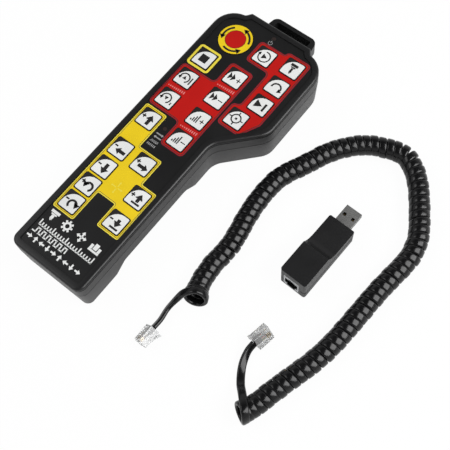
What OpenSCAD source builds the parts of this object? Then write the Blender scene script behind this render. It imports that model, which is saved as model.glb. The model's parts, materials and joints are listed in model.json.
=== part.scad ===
// Hand-held keypad pendant for a machine control, with its coiled handset cord and USB line adapter.
// Millimetres. +Z is up and +Y runs along the handle towards the hanging loop. The origin is the
// middle of the pendant's base. The cord and the adapter lie beside the pendant on the same surface.

/* [Pendant housing] */
// Length of the housing along the handle, without the hanging loop
body_len = 230; // [226:1:250]
// Width across the key head
head_w = 87; // [84:1:100]
// Width across the handle
grip_w = 60.5; // [58:0.5:66]
// Height from the base to the rim of the top cover
body_h = 32.8; // [31:0.2:38]
// Height of the parting line between the two shells
parting_z = 21; // [19:0.5:22]
// Thickness of the shell walls
wall = 2.4; // [1.8:0.1:3]
// Length of the wide head, from the top end down to the flare
head_len = 71; // [66:1:76]
// Length of the slanted flare between head and handle
flare_len = 28.6; // [22:1:34]
// Radius of the corners at the top end
top_corner_r = 17; // [14:1:19]
// Radius of the corners at the handle's lower end
end_corner_r = 6; // [4:1:10]
// Slope of the back shell's walls: how far its base is smaller on each side
draft = 1.2; // [0.4:0.2:2]
// Rounding of the base's edge
base_r = 2; // [1:0.5:3]

/* [Grip relief] */
// Depth of the hollow under the handle
relief_h = 10; // [6:0.5:11]
// Distance from the lower end of the handle to the hollow
relief_start = 26.5; // [22:0.5:34]
// Length of the hollow along the base
relief_len = 86.5; // [70:0.5:88]
// Length of the slope at each end of the hollow
relief_slope = 12; // [8:0.5:16]

/* [Top cover] */
// Width of the raised border around the keypad
border_w = 4.6; // [3.6:0.2:5.2]
// Depth of the recess that holds the graphic overlay
recess_h = 1.4; // [1.2:0.1:1.8]
// Radius of the rim's outer edge
rim_r = 1.6; // [1:0.1:2]
// Thickness of the deck under the overlay
deck_t = 1.8; // [1.4:0.1:2.4]
// Height of the shadow groove below the rim
groove_h = 0.9; // [0.6:0.1:1.2]
// Depth of the shadow groove
groove_d = 0.7; // [0.4:0.1:1]
// Distance from the rim down to the shadow groove
groove_drop = 2.2; // [2.1:0.1:3]
// Height of the fine line where the two shells meet
reveal_h = 0.5; // [0.3:0.1:0.8]
// Depth of that line
reveal_d = 0.3; // [0.2:0.1:0.5]

/* [Hanging loop] */
// Distance from the sides of the head to the raised lip at the top end
lip_side = 18.1; // [17:0.1:20]
// How far the loop stands out of the top end
loop_reach = 10; // [8:0.5:14]
// Thickness of the loop's outer bar
loop_bar = 3; // [2.4:0.1:3.4]
// Width of the loop's slot
loop_slot = 5.2; // [5:0.1:5.8]
// Thickness of the loop's legs
loop_leg = 4.8; // [4:0.2:6]
// Height of the loop
loop_h = 10; // [8:0.5:11]
// Distance of the loop's upper face below the rim
loop_drop = 4.8; // [4:0.1:6]

/* [Keys] */
// Side of a square key pad
key_s = 14; // [13:0.2:14.4]
// How far the key pads stand above the overlay
key_rise = 0.4; // [0.3:0.1:0.6]
// Travel of a key
key_travel = 0.35; // [0.2:0.05:0.4]
// Distance between the main key rows
row_pitch = 19.9; // [18.6:0.1:20.2]
// Diameter of the round emergency pad
stop_pad_d = 24.6; // [22:0.2:25]
// Diameter of a key's plunger
plunger_d = 5; // [4:0.2:5.4]
// Distance from the left side to the left key column
left_column = 14.2; // [13:0.1:15]
// Distance from the head's right side to the right key column
right_column = 18.6; // [17:0.1:20]

/* [Circuit board] */
// Thickness of the main board
board_t = 1.6; // [1.2:0.2:2]
// Height of a switch over the board, with its button
switch_h = 4; // [3.4:0.1:4.4]

/* [Case screws] */
// Diameter of the case screws
screw_d = 3; // [2.6:0.1:3.2]
// Diameter of a screw head
screw_head_d = 5.6; // [5:0.1:6]
// Height of a screw head
screw_head_h = 2.2; // [1.6:0.1:2.6]
// Diameter of the bosses around the case screws
boss_d = 10; // [9.8:0.1:10.4]
// Depth of a screw head's counterbore in the base
counterbore_h = 9; // [6:0.5:11]

/* [Modular jack and plug] */
// Width of a modular jack
jack_w = 12.2; // [12:0.1:13]
// Height of a modular jack
jack_h = 14.4; // [14.2:0.1:15]
// Depth of a modular jack
jack_len = 14; // [13:0.5:16]
// Width of a modular plug
plug_w = 9.65; // [9.4:0.05:9.7]
// Length of a modular plug
plug_len = 12.5; // [12:0.1:13]
// Height of a modular plug's body
plug_h = 6.6; // [6.2:0.1:6.6]

/* [Adapter] */
// Width of the adapter
adapter_w = 20; // [19:0.5:22]
// Length of the adapter's case, without its plug
adapter_len = 52.4; // [50:0.2:58]
// Height of the adapter at its jack end
adapter_h = 22; // [20:0.5:24]
// Height of the adapter at its plug end
adapter_deck_h = 14; // [13.6:0.2:16]
// Height of the parting line of the adapter's case
adapter_parting = 7.3; // [6.8:0.1:7.6]
// Thickness of the adapter's walls
adapter_wall = 1.6; // [1.2:0.1:1.8]

/* [USB plug] */
// Width of the metal plug shell
usb_w = 12; // [11.8:0.1:12.2]
// Height of the metal plug shell
usb_h = 4.5; // [4.3:0.1:4.7]
// Length of the plug shell outside the case
usb_reach = 13.2; // [11.8:0.1:14]

/* [Cord] */
// Outer diameter of the coiled cord
coil_d = 13; // [12:0.5:13]
// Width of the flat cord
cord_w = 4.9; // [4.6:0.1:5]
// Thickness of the flat cord
cord_t = 2.7; // [2.4:0.1:2.8]

/* [Hidden] */
$fn = 48;
PLAIN_NODES = [
    "back_shell", "top_cover", "graphic_overlay", "main_board", "key_switches", "controller_chip",
    "power_led", "link_led", "handset_jack", "handset_jack_contacts", "case_screws", "board_screws",
    "adapter_base", "adapter_cover", "adapter_board", "adapter_chip", "adapter_jack",
    "adapter_jack_contacts", "usb_shell", "usb_tongue", "usb_contacts",
    "coiled_cord", "cord_tail_a", "cord_tail_b", "plug_a", "plug_a_contacts", "plug_b", "plug_b_contacts"
];

eps = 0.01;
running_gap = 0.3;                                  // clearance around parts that move
seat_gap = 0.1;                                     // clearance of parts that are fitted once

// Housing outline
left_x = -head_w / 2;
head_x = head_w / 2;
grip_x = left_x + grip_w;
end_y = -body_len / 2;
top_y = body_len / 2;
lip_half = head_w / 2 - lip_side;                   // half width of the raised lip at the top end
lip_h = 4.1;                                        // height of that lip
lip_run = 3.1;                                      // run of the lip's flanks
shoulder_drop = 6.8;                                // drop of the top corners below the lip
CORNERS = [                                         // x, y, fillet radius, anticlockwise
    [left_x, end_y, end_corner_r],
    [grip_x, end_y, end_corner_r],
    [grip_x, top_y - head_len - flare_len, 14],
    [head_x, top_y - head_len, 15],
    [head_x, top_y - shoulder_drop, top_corner_r],
    [lip_half + lip_run, top_y - lip_h, 2],
    [lip_half, top_y, 1.5],
    [-lip_half, top_y, 1.5],
    [-lip_half - lip_run, top_y - lip_h, 2],
    [left_x, top_y - shoulder_drop, top_corner_r]
];

// Keys: name, x, distance below the top end
column_a = left_x + left_column;
column_c = head_x - right_column;
column_b = (column_a + column_c) / 2;
column_z = grip_x - 13.8;                           // the handle's right column
FIRST_ROW = 49.9;
AXIS_ROWS = [138, 154.8, 170.6, 186.4];
SQUARE_KEYS = [
    ["stop_key", column_a, FIRST_ROW],
    ["speed_up_key", column_a, FIRST_ROW + row_pitch],
    ["speed_down_key", column_a, FIRST_ROW + 2 * row_pitch],
    ["y_plus_key", column_a, FIRST_ROW + 3 * row_pitch],
    ["feed_plus_key", column_b, FIRST_ROW],
    ["feed_minus_key", column_b, FIRST_ROW + row_pitch],
    ["jog_plus_key", column_b, FIRST_ROW + 2 * row_pitch],
    ["jog_minus_key", column_b, FIRST_ROW + 3 * row_pitch],
    ["cycle_start_key", column_b + 5.6, 24.1],
    ["spindle_key", column_c, 20.7],
    ["redo_key", column_c, 38.6],
    ["single_step_key", column_c, 56.5],
    ["origin_key", column_c - 6.8, 74.4],
    ["x_minus_key", column_a, AXIS_ROWS[0]],
    ["y_minus_key", column_a, AXIS_ROWS[1]],
    ["a_plus_key", column_a, AXIS_ROWS[2]],
    ["a_minus_key", column_a, AXIS_ROWS[3]],
    ["x_plus_key", column_z - 12.9, AXIS_ROWS[0]],
    ["z_plus_key", column_z, 158.5],
    ["z_minus_key", column_z, 179.7]
];
EMERGENCY_KEY = ["emergency_key", column_a + 7.8, 24.7];

// Levels of the keypad stack
deck_z = body_h - recess_h;                         // upper face of the deck
overlay_t = 0.6;
overlay_z = deck_z + overlay_t;                     // upper face of the overlay
deck_low_z = deck_z - deck_t;
key_gap = key_travel + 0.05;                        // free height under a key and its plunger
key_low_z = deck_z + key_gap;
key_high_z = overlay_z + key_rise;
switch_top_z = deck_low_z - 0.6;
board_top_z = switch_top_z - switch_h;
board_low_z = board_top_z - board_t;
rabbet_h = 2;                                       // height of the lap joint between the shells
led_d = 3;
LEDS = [["power_led", column_b + 2, 8.4], ["link_led", (column_a + column_b) / 2 + 0.35, 108.8]];

// Screws: x, distance below the top end
screw_inset = 7.5;                                  // from the side walls
screw_end = 9;                                      // from the handle's lower end
screw_shoulder = 7;                                 // from the head's lower corner
screw_top = 18.5;                                   // from the top end
CASE_SCREWS = [
    [left_x + screw_inset, body_len - screw_end], [grip_x - screw_inset, body_len - screw_end],
    [left_x + screw_inset, head_len + flare_len], [head_x - screw_inset, head_len - screw_shoulder],
    [left_x + screw_inset, screw_top], [head_x - screw_inset, screw_top]
];
board_screw_a = 13.5;                               // from column A's middle to the board screws beside it
board_screw_c = 12.9;                               // from column C's middle
board_screw_low = 16.3;                             // from column A's middle, at the foot of the board
BOARD_SCREWS = [
    [column_a + board_screw_a, 45], [column_c - board_screw_c, 49], [column_a + board_screw_a, 123],
    [column_a + board_screw_low, 197]
];
standoff_d = 5;
board_screw_d = 2;
board_screw_head_d = 3.8;
board_screw_head_h = 1.4;
case_screw_grip = 5;                                // how far a case screw reaches past the parting line
board_screw_grip = 1.4;                             // length of a board screw in its standoff
switch_s = 6;                                       // side of a key switch
switch_button_d = 3.4;
switch_button_h = 1;                                // height of its button above its case
chip_s = 12;                                        // side of the controller chip
chip_h = 1.6;
chip_from_top = 51;                                 // distance of its upper side from the top end

// Modular jack in the top end
jack_x = -lip_half + jack_w / 2 + 1;
jack_skin = 1.4;                                    // wall in front of the jack's face
jack_mouth_w = plug_w + 0.15;
jack_mouth_h = plug_h + 0.2;
latch_slot_h = 3;
latch_slot_w = 6.4;
jack_sill = 0.8;                                    // wall under the latch slot
jack_floor_z = board_low_z - jack_h;
contact_t = 0.35;
contact_pitch = 1.02;

// Adapter
ADAPTER_AT = [103.1, -23.2, 0];
adapter_turn = -2;
adapter_corner_r = 1.6;
adapter_jack_x = 9;
adapter_jack_z = 0.9;
adapter_board_t = 1.2;
usb_z = adapter_parting + 0.4;                      // lower face of the plug shell
adapter_board_z = usb_z - adapter_board_t;
adapter_step_from = 23.8;                           // from the jack end to where the cover starts to fall
adapter_step_to = 28;                               // from the jack end to the foot of its step
adapter_step_rise = 0.9;                            // how far the foot lies above the plug end
adapter_ledge = 1.4;                                // width of the ledges under the adapter's board
usb_inside = 11;                                    // length of the plug shell inside the case
usb_skin = 0.35;
usb_hole = 2.3;
usb_hole_pitch = 6.6;
usb_contact_pitch = 2.25;
usb_contact_w = 1;
usb_contact_t = 0.15;
usb_tongue_t = 1.7;

// Plugs and cord
plug_roll = 54;                                     // a plug lies on one edge and its latch
latch_drop = 4.4;                                   // how far the latch's end stands below the body
latch_w = 3.2;
plug_axis_z = plug_w / 2 * sin(plug_roll) + plug_h / 2 * cos(plug_roll) + 0.1;
PLUG_A = [59.6, -100, 180];                         // middle of the rear face, and heading
PLUG_B = [116.8, -67.9, -10];
COIL_ROUTE = [
    [68, -67], [64, -55], [62.5, -43], [62.5, -31], [62, -19], [60, -3], [58.5, 14], [60, 33],
    [67.5, 53], [75.5, 69], [85, 82], [95.5, 90.5], [106.5, 96], [118, 97], [128, 93], [136.5, 85.5],
    [144, 76], [152, 64], [158, 52], [161, 38], [160.5, 25], [158, 8], [156.5, -8], [156, -26],
    [154, -42], [151, -57], [147, -72], [142.5, -88], [138.5, -103]
];
coil_z = coil_d / 2 + 0.1;
TAIL_A_ROUTE = [
    [59.6, -99.8, 5.7], [59.2, -96, 4.6], [58.2, -91, 2.6], [56.8, -85, 1.9], [56.3, -79, 2.4],
    [57.3, -74, 4.4], [60, -70, 6.6], [63.8, -67.6, 7.6]
];
TAIL_B_ROUTE = [
    [116.7, -68.1, 5.7], [116.6, -72, 4.4], [117.2, -78, 2.3], [119, -84, 1.9], [122, -89.5, 2.4],
    [126, -94.5, 4.6], [130, -98.2, 7], [134.6, -101.1, 8]
];

black = [0.1, 0.1, 0.1];
soft_black = [0.05, 0.05, 0.05];
board_green = [0.05, 0.3, 0.15];
white = [0.92, 0.92, 0.9];
gold = [0.85, 0.65, 0.25];
steel = [0.7, 0.71, 0.72];
clear_grey = [0.8, 0.82, 0.82, 0.5];
jack_grey = [0.75, 0.76, 0.76];

// ---- Outlines with rounded corners ----

function flat(p) = [p[0], p[1]];
function unit(v) = v / norm(v);
function left_of(v) = [-v[1], v[0]];
function around(i, n) = (i + n) % n;

// Where the line from p along u meets the line from q along w
function meet(p, u, q, w) = p + u * (cross(q - p, w) / cross(u, w));

// The corners of an outline whose edges are all moved inwards by d, each with its new fillet radius
function inset(corners, d) = [
    for (i = [0:len(corners) - 1])
        let (
            b = flat(corners[i]),
            u = unit(b - flat(corners[around(i - 1, len(corners))])),
            w = unit(flat(corners[around(i + 1, len(corners))]) - b),
            p = meet(b + d * left_of(u), u, b + d * left_of(w), w),
            r = corners[i][2]
        )
        [p[0], p[1], r == 0 ? 0 : cross(u, w) > 0 ? max(r - d, 0.4) : r + d]
];

// The arc that rounds corner b between its neighbours a and c
function fillet(a, b, c, r, steps) =
    r == 0 ? [b] :
    let (
        u = unit(a - b),
        w = unit(c - b),
        half = acos(u * w) / 2,
        centre = b + unit(u + w) * (r / sin(half)),
        from = b + u * (r / tan(half)) - centre,
        turn = (180 - 2 * half) * (cross(-u, w) > 0 ? 1 : -1),
        start = atan2(from[1], from[0])
    )
    [for (k = [0:steps]) centre + r * [cos(start + turn * k / steps), sin(start + turn * k / steps)]];

function rounded(corners, steps = 8) = [
    for (i = [0:len(corners) - 1])
        each fillet(
            flat(corners[around(i - 1, len(corners))]), flat(corners[i]),
            flat(corners[around(i + 1, len(corners))]), corners[i][2], steps
        )
];

function outline(d) = rounded(inset(CORNERS, d));
function box_corners(w, h, r) = [[-w / 2, -h / 2, r], [w / 2, -h / 2, r], [w / 2, h / 2, r], [-w / 2, h / 2, r]];

// The housing outline, inset by d, as a prism from z0 to z1
module housing_prism(d, z0, z1) {
    translate([0, 0, z0]) linear_extrude(z1 - z0) polygon(outline(d));
}

// A solid through copies of the housing outline; each ring is [height, inset]. Its two ends are fans
// around a point from which the whole outline can be seen.
module housing_loft(rings) {
    n = len(outline(0));
    m = len(rings);
    heart = [left_x + grip_w / 2, top_y - head_len - flare_len / 2];
    skin = [for (ring = rings) for (p = outline(ring[1])) [p[0], p[1], ring[0]]];
    hearts = [for (k = [0, m - 1]) [heart[0], heart[1], rings[k][0]]];
    sides = [for (k = [0:m - 2]) for (i = [0:n - 1])
        let (a = k * n + i, b = k * n + around(i + 1, n)) [a, a + n, b + n, b]];
    low_fan = [for (i = [0:n - 1]) [i, around(i + 1, n), m * n]];
    high_fan = [for (i = [0:n - 1]) [(m - 1) * n + around(i + 1, n), (m - 1) * n + i, m * n + 1]];
    polyhedron(concat(skin, hearts), concat(low_fan, sides, high_fan));
}

// A profile in the Y-Z plane, extruded across x0 to x1
module side_prism(points, x0, x1) {
    translate([x0, 0, 0]) rotate([90, 0, 90]) linear_extrude(x1 - x0) polygon(points);
}

module at_screws(places) {
    for (place = places) translate([place[0], top_y - place[1], 0]) children();
}

module at_keys() {
    for (key = SQUARE_KEYS) translate([key[1], top_y - key[2], 0]) children();
}

// ---- Pendant housing ----

// The grip relief's profile, pushed up by lift and widened by grow at its flanks
function relief_corners(lift, grow) = let (a = end_y + relief_start, b = a + relief_len) [
    [a - grow, lift, 0], [b + grow, lift, 0],
    [b - relief_slope + grow, relief_h + lift, 6], [a + relief_slope - grow, relief_h + lift, 6]
];

module shell_cavity() {
    intersection() {
        housing_prism(wall + draft / 2, wall, parting_z + eps);
        difference() {
            translate([-head_w, -body_len, wall]) cube([2 * head_w, 2 * body_len, parting_z]);
            side_prism(rounded(relief_corners(wall, 1.2)), -head_w, head_w);
        }
    }
}

module back_shell() color(black) {
    base_rings = [for (k = [0:3]) let (a = 30 * k, z = base_r * (1 - cos(a)))
        [z, draft * (1 - z / parting_z) + base_r * (1 - sin(a))]];
    difference() {
        union() {
            difference() {
                housing_loft(concat(base_rings, [[parting_z, 0]]));
                shell_cavity();
            }
            intersection() {
                at_screws(CASE_SCREWS) translate([0, 0, wall / 2]) cylinder(d = boss_d, h = parting_z - wall / 2);
                housing_prism(wall, 0, parting_z);
            }
            difference() {
                housing_prism(wall / 2 + seat_gap, parting_z - 1, parting_z + rabbet_h - seat_gap);
                housing_prism(wall, parting_z - 2, parting_z + rabbet_h);
            }
        }
        translate([0, 0, -eps]) side_prism(rounded(relief_corners(-eps, 0)), -head_w, head_w);
        at_screws(CASE_SCREWS) {
            translate([0, 0, -eps]) cylinder(d = screw_head_d + 0.8, h = counterbore_h);
            translate([0, 0, -eps]) cylinder(d = screw_d + 0.4, h = parting_z + rabbet_h);
        }
        jack_window();
    }
}

// The pocket behind the top end's wall for the modular jack, and the mouth through that wall
module jack_window() {
    mouth_w = jack_mouth_w + 2 * seat_gap;
    translate([jack_x - jack_w / 2 - seat_gap, top_y - jack_skin - 6, jack_floor_z - seat_gap])
        cube([jack_w + 2 * seat_gap, 6, jack_h + 2 * seat_gap]);
    translate([jack_x - mouth_w / 2, top_y - jack_skin - 1, jack_floor_z + jack_sill - seat_gap])
        cube([mouth_w, jack_skin + 2, latch_slot_h + jack_mouth_h + 2 * seat_gap]);
}

// The loop fills the lip beside the jack's mouth
module hanging_loop() {
    loop_left = jack_x + jack_mouth_w / 2 + 0.15;
    half = (lip_half - 0.15 - loop_left) / 2;
    frame = [[-half, -wall / 2, 0], [half, -wall / 2, 0], [half, 0, 0], [half - 1.6, loop_reach, 5],
        [-half + 1.6, loop_reach, 5], [-half, 0, 0]];
    slot = [for (p = box_corners(2 * (half - loop_leg), loop_slot, 1.2))
        [p[0], p[1] + loop_reach - loop_bar - loop_slot / 2, p[2]]];
    translate([loop_left + half, top_y, body_h - loop_drop - loop_h]) difference() {
        linear_extrude(loop_h) difference() {
            polygon(rounded(frame));
            polygon(rounded(slot));
        }
        translate([-half - 1, -wall, -1])
            cube([2 * half + 2, wall + 0.2, parting_z - body_h + loop_drop + loop_h + 1]);
    }
}

module top_cover() color(black) {
    rim = concat([[body_h - groove_drop, 0]], [for (a = [0:22.5:90])
        [body_h - rim_r * (1 - sin(a)), rim_r * (1 - cos(a))]], [[body_h, border_w - 0.3]]);
    difference() {
        union() {
            difference() {
                union() {
                    housing_prism(0, parting_z + reveal_h, body_h - groove_drop - groove_h);
                    housing_prism(reveal_d, parting_z, body_h - groove_drop - groove_h);
                    housing_prism(groove_d, parting_z, body_h - groove_drop);
                    housing_loft(rim);
                }
                housing_prism(wall, parting_z - 1, deck_low_z);
                housing_prism(wall / 2, parting_z - 1, parting_z + rabbet_h);
            }
            at_screws(CASE_SCREWS) translate([0, 0, parting_z + seat_gap])
                cylinder(d = boss_d - 1, h = deck_low_z - parting_z);
            at_screws(BOARD_SCREWS) translate([0, 0, board_top_z]) cylinder(d = standoff_d, h = deck_low_z - board_top_z + eps);
            hanging_loop();
        }
        housing_prism(border_w, deck_z, body_h + 1);
        at_keys() translate([0, 0, deck_low_z - 1]) cylinder(d = plunger_d + 2 * running_gap, h = deck_t + 2);
        translate([EMERGENCY_KEY[1], top_y - EMERGENCY_KEY[2], deck_low_z - 1])
            cylinder(d = plunger_d + 2 * running_gap, h = deck_t + 2);
        at_screws(CASE_SCREWS) cylinder(d = screw_d + seat_gap, h = deck_low_z - 1);
        at_screws(BOARD_SCREWS) cylinder(d = board_screw_d + seat_gap, h = deck_low_z);
        led_holes();
        jack_window();
    }
}

module led_holes() {
    for (led = LEDS) translate([led[1], top_y - led[2], deck_low_z - 1]) cylinder(d = led_d + 2 * seat_gap, h = 6);
}

module graphic_overlay() color(soft_black) difference() {
    housing_prism(border_w + seat_gap, deck_z, overlay_z);
    at_keys() translate([0, 0, deck_z - 1]) linear_extrude(3)
        polygon(rounded(box_corners(key_s + 2 * running_gap, key_s + 2 * running_gap, 1.5), 4));
    translate([EMERGENCY_KEY[1], top_y - EMERGENCY_KEY[2], deck_z - 1])
        cylinder(d = stop_pad_d + 2 * running_gap, h = 3);
    led_holes();
}

// ---- Keys ----

module plunger() {
    translate([0, 0, switch_top_z + key_gap]) cylinder(d = plunger_d, h = key_low_z - switch_top_z - key_gap + eps);
}

module square_key(key) color(white) translate([key[1], top_y - key[2], 0]) {
    translate([0, 0, key_low_z]) linear_extrude(key_high_z - key_low_z) polygon(rounded(box_corners(key_s, key_s, 1.2), 4));
    plunger();
}

module emergency_key() color([0.8, 0.1, 0.08]) translate([EMERGENCY_KEY[1], top_y - EMERGENCY_KEY[2], 0]) {
    translate([0, 0, key_low_z]) cylinder(d = stop_pad_d, h = key_high_z - key_low_z);
    plunger();
}

// ---- Electronics ----

module main_board() color(board_green) difference() {
    housing_prism(wall + 0.8, board_low_z, board_top_z);
    at_screws(CASE_SCREWS) translate([0, 0, board_low_z - 1]) cylinder(d = boss_d + 0.6, h = board_t + 2);
    at_screws(BOARD_SCREWS) translate([0, 0, board_low_z - 1]) cylinder(d = board_screw_d + 0.3, h = board_t + 2);
}

module key_switch() {
    translate([-switch_s / 2, -switch_s / 2, board_top_z]) cube([switch_s, switch_s, switch_h - switch_button_h]);
    translate([0, 0, board_top_z]) cylinder(d = switch_button_d, h = switch_h);
}

module key_switches() color(soft_black) {
    at_keys() key_switch();
    translate([EMERGENCY_KEY[1], top_y - EMERGENCY_KEY[2], 0]) key_switch();
}

module controller_chip() color(soft_black)
    translate([-chip_s / 2, top_y - chip_from_top - chip_s, board_low_z - chip_h]) cube([chip_s, chip_s, chip_h]);

module led(place) color([0.8, 0.8, 0.75]) translate([place[1], top_y - place[2], board_top_z]) {
    cylinder(d = led_d + 0.8, h = 1);
    cylinder(d = led_d, h = overlay_z - board_top_z);
}

module board_screws() color(steel) at_screws(BOARD_SCREWS) {
    translate([0, 0, board_low_z - board_screw_head_h]) cylinder(d = board_screw_head_d, h = board_screw_head_h);
    translate([0, 0, board_low_z - board_screw_head_h / 2])
        cylinder(d = board_screw_d, h = board_screw_head_h / 2 + board_t + board_screw_grip);
}

module case_screws() color(steel) at_screws(CASE_SCREWS) {
    translate([0, 0, counterbore_h - screw_head_h - eps]) cylinder(d = screw_head_d, h = screw_head_h);
    translate([0, 0, counterbore_h - 1]) cylinder(d = screw_d, h = parting_z + case_screw_grip - counterbore_h);
}

// ---- Modular jack: its mouth faces -Y at y = 0, its base is at z = 0 ----

module jack_body() difference() {
    translate([-jack_w / 2, 0, 0]) cube([jack_w, jack_len, jack_h]);
    translate([-latch_slot_w / 2, -1, jack_sill]) cube([latch_slot_w, jack_len - 1, latch_slot_h + 1]);
    translate([-jack_mouth_w / 2, -1, jack_sill + latch_slot_h]) cube([jack_mouth_w, jack_len - 0.5, jack_mouth_h]);
    for (k = [-1.5:1.5]) translate([k * contact_pitch - contact_pitch / 2 + 0.15, -1, jack_sill + latch_slot_h])
        cube([contact_pitch - 0.3, jack_len - 0.5, jack_mouth_h + 1.6]);
}

module jack_contacts() {
    top = jack_sill + latch_slot_h + jack_mouth_h + 1.6;
    for (k = [-1.5:1.5]) translate([k * contact_pitch, 0, 0])
        side_prism([[1, top - 0.5], [jack_len - 1.6, top - 2.2], [jack_len - 1.6, top], [1, top]], -contact_t / 2, contact_t / 2);
}

module in_top_end() {
    translate([jack_x, top_y - jack_skin - seat_gap, jack_floor_z]) rotate([0, 0, 180]) children();
}

module in_adapter() {
    translate(ADAPTER_AT) rotate([0, 0, adapter_turn]) children();
}

module in_adapter_end() {
    in_adapter() translate([adapter_jack_x, 0, adapter_jack_z]) children();
}

// ---- Adapter: x across, y from the jack end to the plug end ----

ADAPTER_PLAN = [[0, 0, adapter_corner_r], [adapter_w, 0, adapter_corner_r],
    [adapter_w, adapter_len, adapter_corner_r], [0, adapter_len, adapter_corner_r]];
ADAPTER_SIDE = [[0, adapter_parting, 0], [adapter_len, adapter_parting, 0], [adapter_len, adapter_deck_h, 1],
    [adapter_step_to, adapter_deck_h + adapter_step_rise, 12], [adapter_step_from, adapter_h, 1], [0, adapter_h, 1]];

module adapter_prism(d, z0, z1) {
    translate([0, 0, z0]) linear_extrude(z1 - z0) polygon(rounded(inset(ADAPTER_PLAN, d), 6));
}

// The windows in the two ends, for the jack and for the plug shell
module adapter_windows() {
    translate([adapter_jack_x - jack_w / 2 - seat_gap, -1, adapter_jack_z - seat_gap])
        cube([jack_w + 2 * seat_gap, adapter_wall + 2, jack_h + 2 * seat_gap]);
    translate([adapter_w / 2 - usb_w / 2 - seat_gap, adapter_len - adapter_wall - 1, usb_z - seat_gap])
        cube([usb_w + 2 * seat_gap, adapter_wall + 2, usb_h + 2 * seat_gap]);
}

module adapter_base() color(black) in_adapter() difference() {
    adapter_prism(0, 0, adapter_parting);
    difference() {
        adapter_prism(adapter_wall, adapter_jack_z - seat_gap, adapter_parting + 1);
        for (x = [0, adapter_w - adapter_wall - adapter_ledge]) translate([x, jack_len + 1, 0])
            cube([adapter_wall + adapter_ledge, adapter_len, adapter_board_z]);
    }
    adapter_windows();
}

module adapter_cover() color(black) in_adapter() difference() {
    intersection() {
        adapter_prism(0, adapter_parting, adapter_h);
        side_prism(rounded(ADAPTER_SIDE, 8), 0, adapter_w);
    }
    intersection() {
        adapter_prism(adapter_wall, adapter_parting - 1, adapter_h);
        union() {
            side_prism(rounded(inset(ADAPTER_SIDE, adapter_wall), 8), 0, adapter_w);
            side_prism([[0, adapter_parting - 1], [adapter_len, adapter_parting - 1],
                [adapter_len, adapter_parting + adapter_wall + 0.1], [0, adapter_parting + adapter_wall + 0.1]], 0, adapter_w);
        }
    }
    adapter_windows();
}

module adapter_board() color(board_green) in_adapter()
    translate([adapter_wall + 0.2, jack_len + 0.1, adapter_board_z])
        cube([adapter_w - 2 * adapter_wall - 0.4, adapter_len - adapter_wall - jack_len - 0.4, adapter_board_t]);

module adapter_chip() color(soft_black) in_adapter()
    translate([adapter_w / 2 - 3.5, jack_len + 6, adapter_board_z + adapter_board_t]) cube([7, 7, 1.2]);

// ---- USB plug ----

module in_usb() {
    in_adapter() translate([adapter_w / 2, adapter_len, usb_z]) children();
}

module usb_shell() color(steel) in_usb() difference() {
    translate([-usb_w / 2, -usb_inside, 0]) cube([usb_w, usb_inside + usb_reach, usb_h]);
    translate([-usb_w / 2 + usb_skin, -usb_inside - 1, usb_skin])
        cube([usb_w - 2 * usb_skin, usb_inside + usb_reach + 2, usb_h - 2 * usb_skin]);
    for (side = [-1, 1]) translate([side * usb_hole_pitch / 2 - usb_hole / 2, usb_reach / 2 - usb_hole / 2, -1])
        cube([usb_hole, usb_hole, usb_h + 2]);
}

module usb_tongue() color(soft_black) in_usb()
    translate([-usb_w / 2 + usb_skin + 0.05, -usb_inside, usb_skin]) cube([usb_w - 2 * usb_skin - 0.1, usb_inside + usb_reach - 0.6, usb_tongue_t]);

module usb_contacts() color(gold) in_usb()
    for (k = [-1.5:1.5])
        translate([k * usb_contact_pitch - usb_contact_w / 2, -usb_inside + 2, usb_skin + usb_tongue_t])
        cube([usb_contact_w, usb_inside + usb_reach - 4, usb_contact_t]);

// ---- Modular plug: rear face at y = 0, nose at +Y, latch below ----

module in_plug(place) {
    translate([place[0], place[1], plug_axis_z]) rotate([0, 0, place[2]]) rotate([0, plug_roll, 0]) children();
}

module plug_body() {
    h = plug_h / 2;
    difference() {
        side_prism([[0, -h], [plug_len, -h], [plug_len, h - 1.2], [plug_len - 0.6, h - 1.2], [plug_len - 0.6, h], [0, h]],
            -plug_w / 2, plug_w / 2);
        plug_slots(0.15, 1);
    }
    side_prism([[plug_len - 1.4, -h + eps], [plug_len, -h + eps], [plug_len, -h - 0.6], [plug_len / 2, -h - 1.9],
        [0, -h - latch_drop], [0, -h - latch_drop + 1.1], [plug_len / 2, -h - 0.9]], -latch_w / 2, latch_w / 2);
}

module plug_slots(gap, proud) {
    for (k = [-1.5:1.5]) translate([k * contact_pitch - contact_t / 2 - gap, plug_len - 4.2 - gap, plug_h / 2 - 2.6])
        cube([contact_t + 2 * gap, 3 + 2 * gap, 2.3 + proud]);
}

// ---- Cord ----

// A tube along a route, with an oval section: w wide across the route, t thick
module tube(route, w, t, sides) {
    n = len(route);
    rings = [for (i = [0:n - 1])
        let (
            along = unit(route[min(i + 1, n - 1)] - route[max(i - 1, 0)]),
            across = unit(cross(along, [0, 0, 1])),
            upward = cross(across, along)
        )
        for (k = [0:sides - 1]) let (a = 360 * k / sides)
            route[i] + across * (w / 2 * cos(a)) + upward * (t / 2 * sin(a))];
    walls = [for (i = [0:n - 2]) for (k = [0:sides - 1])
        let (a = i * sides + k, b = i * sides + around(k + 1, sides)) [a, b, b + sides, a + sides]];
    polyhedron(rings, concat([[for (k = [sides - 1:-1:0]) k]], walls, [[for (k = [0:sides - 1]) (n - 1) * sides + k]]));
}

module coiled_cord() color(soft_black) tube([for (p = COIL_ROUTE) [p[0], p[1], coil_z]], coil_d, coil_d, 12);
module cord_tail_a() color(soft_black) tube(TAIL_A_ROUTE, cord_w, cord_t, 8);
module cord_tail_b() color(soft_black) tube(TAIL_B_ROUTE, cord_w, cord_t, 8);

// ---- Nodes ----

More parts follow.
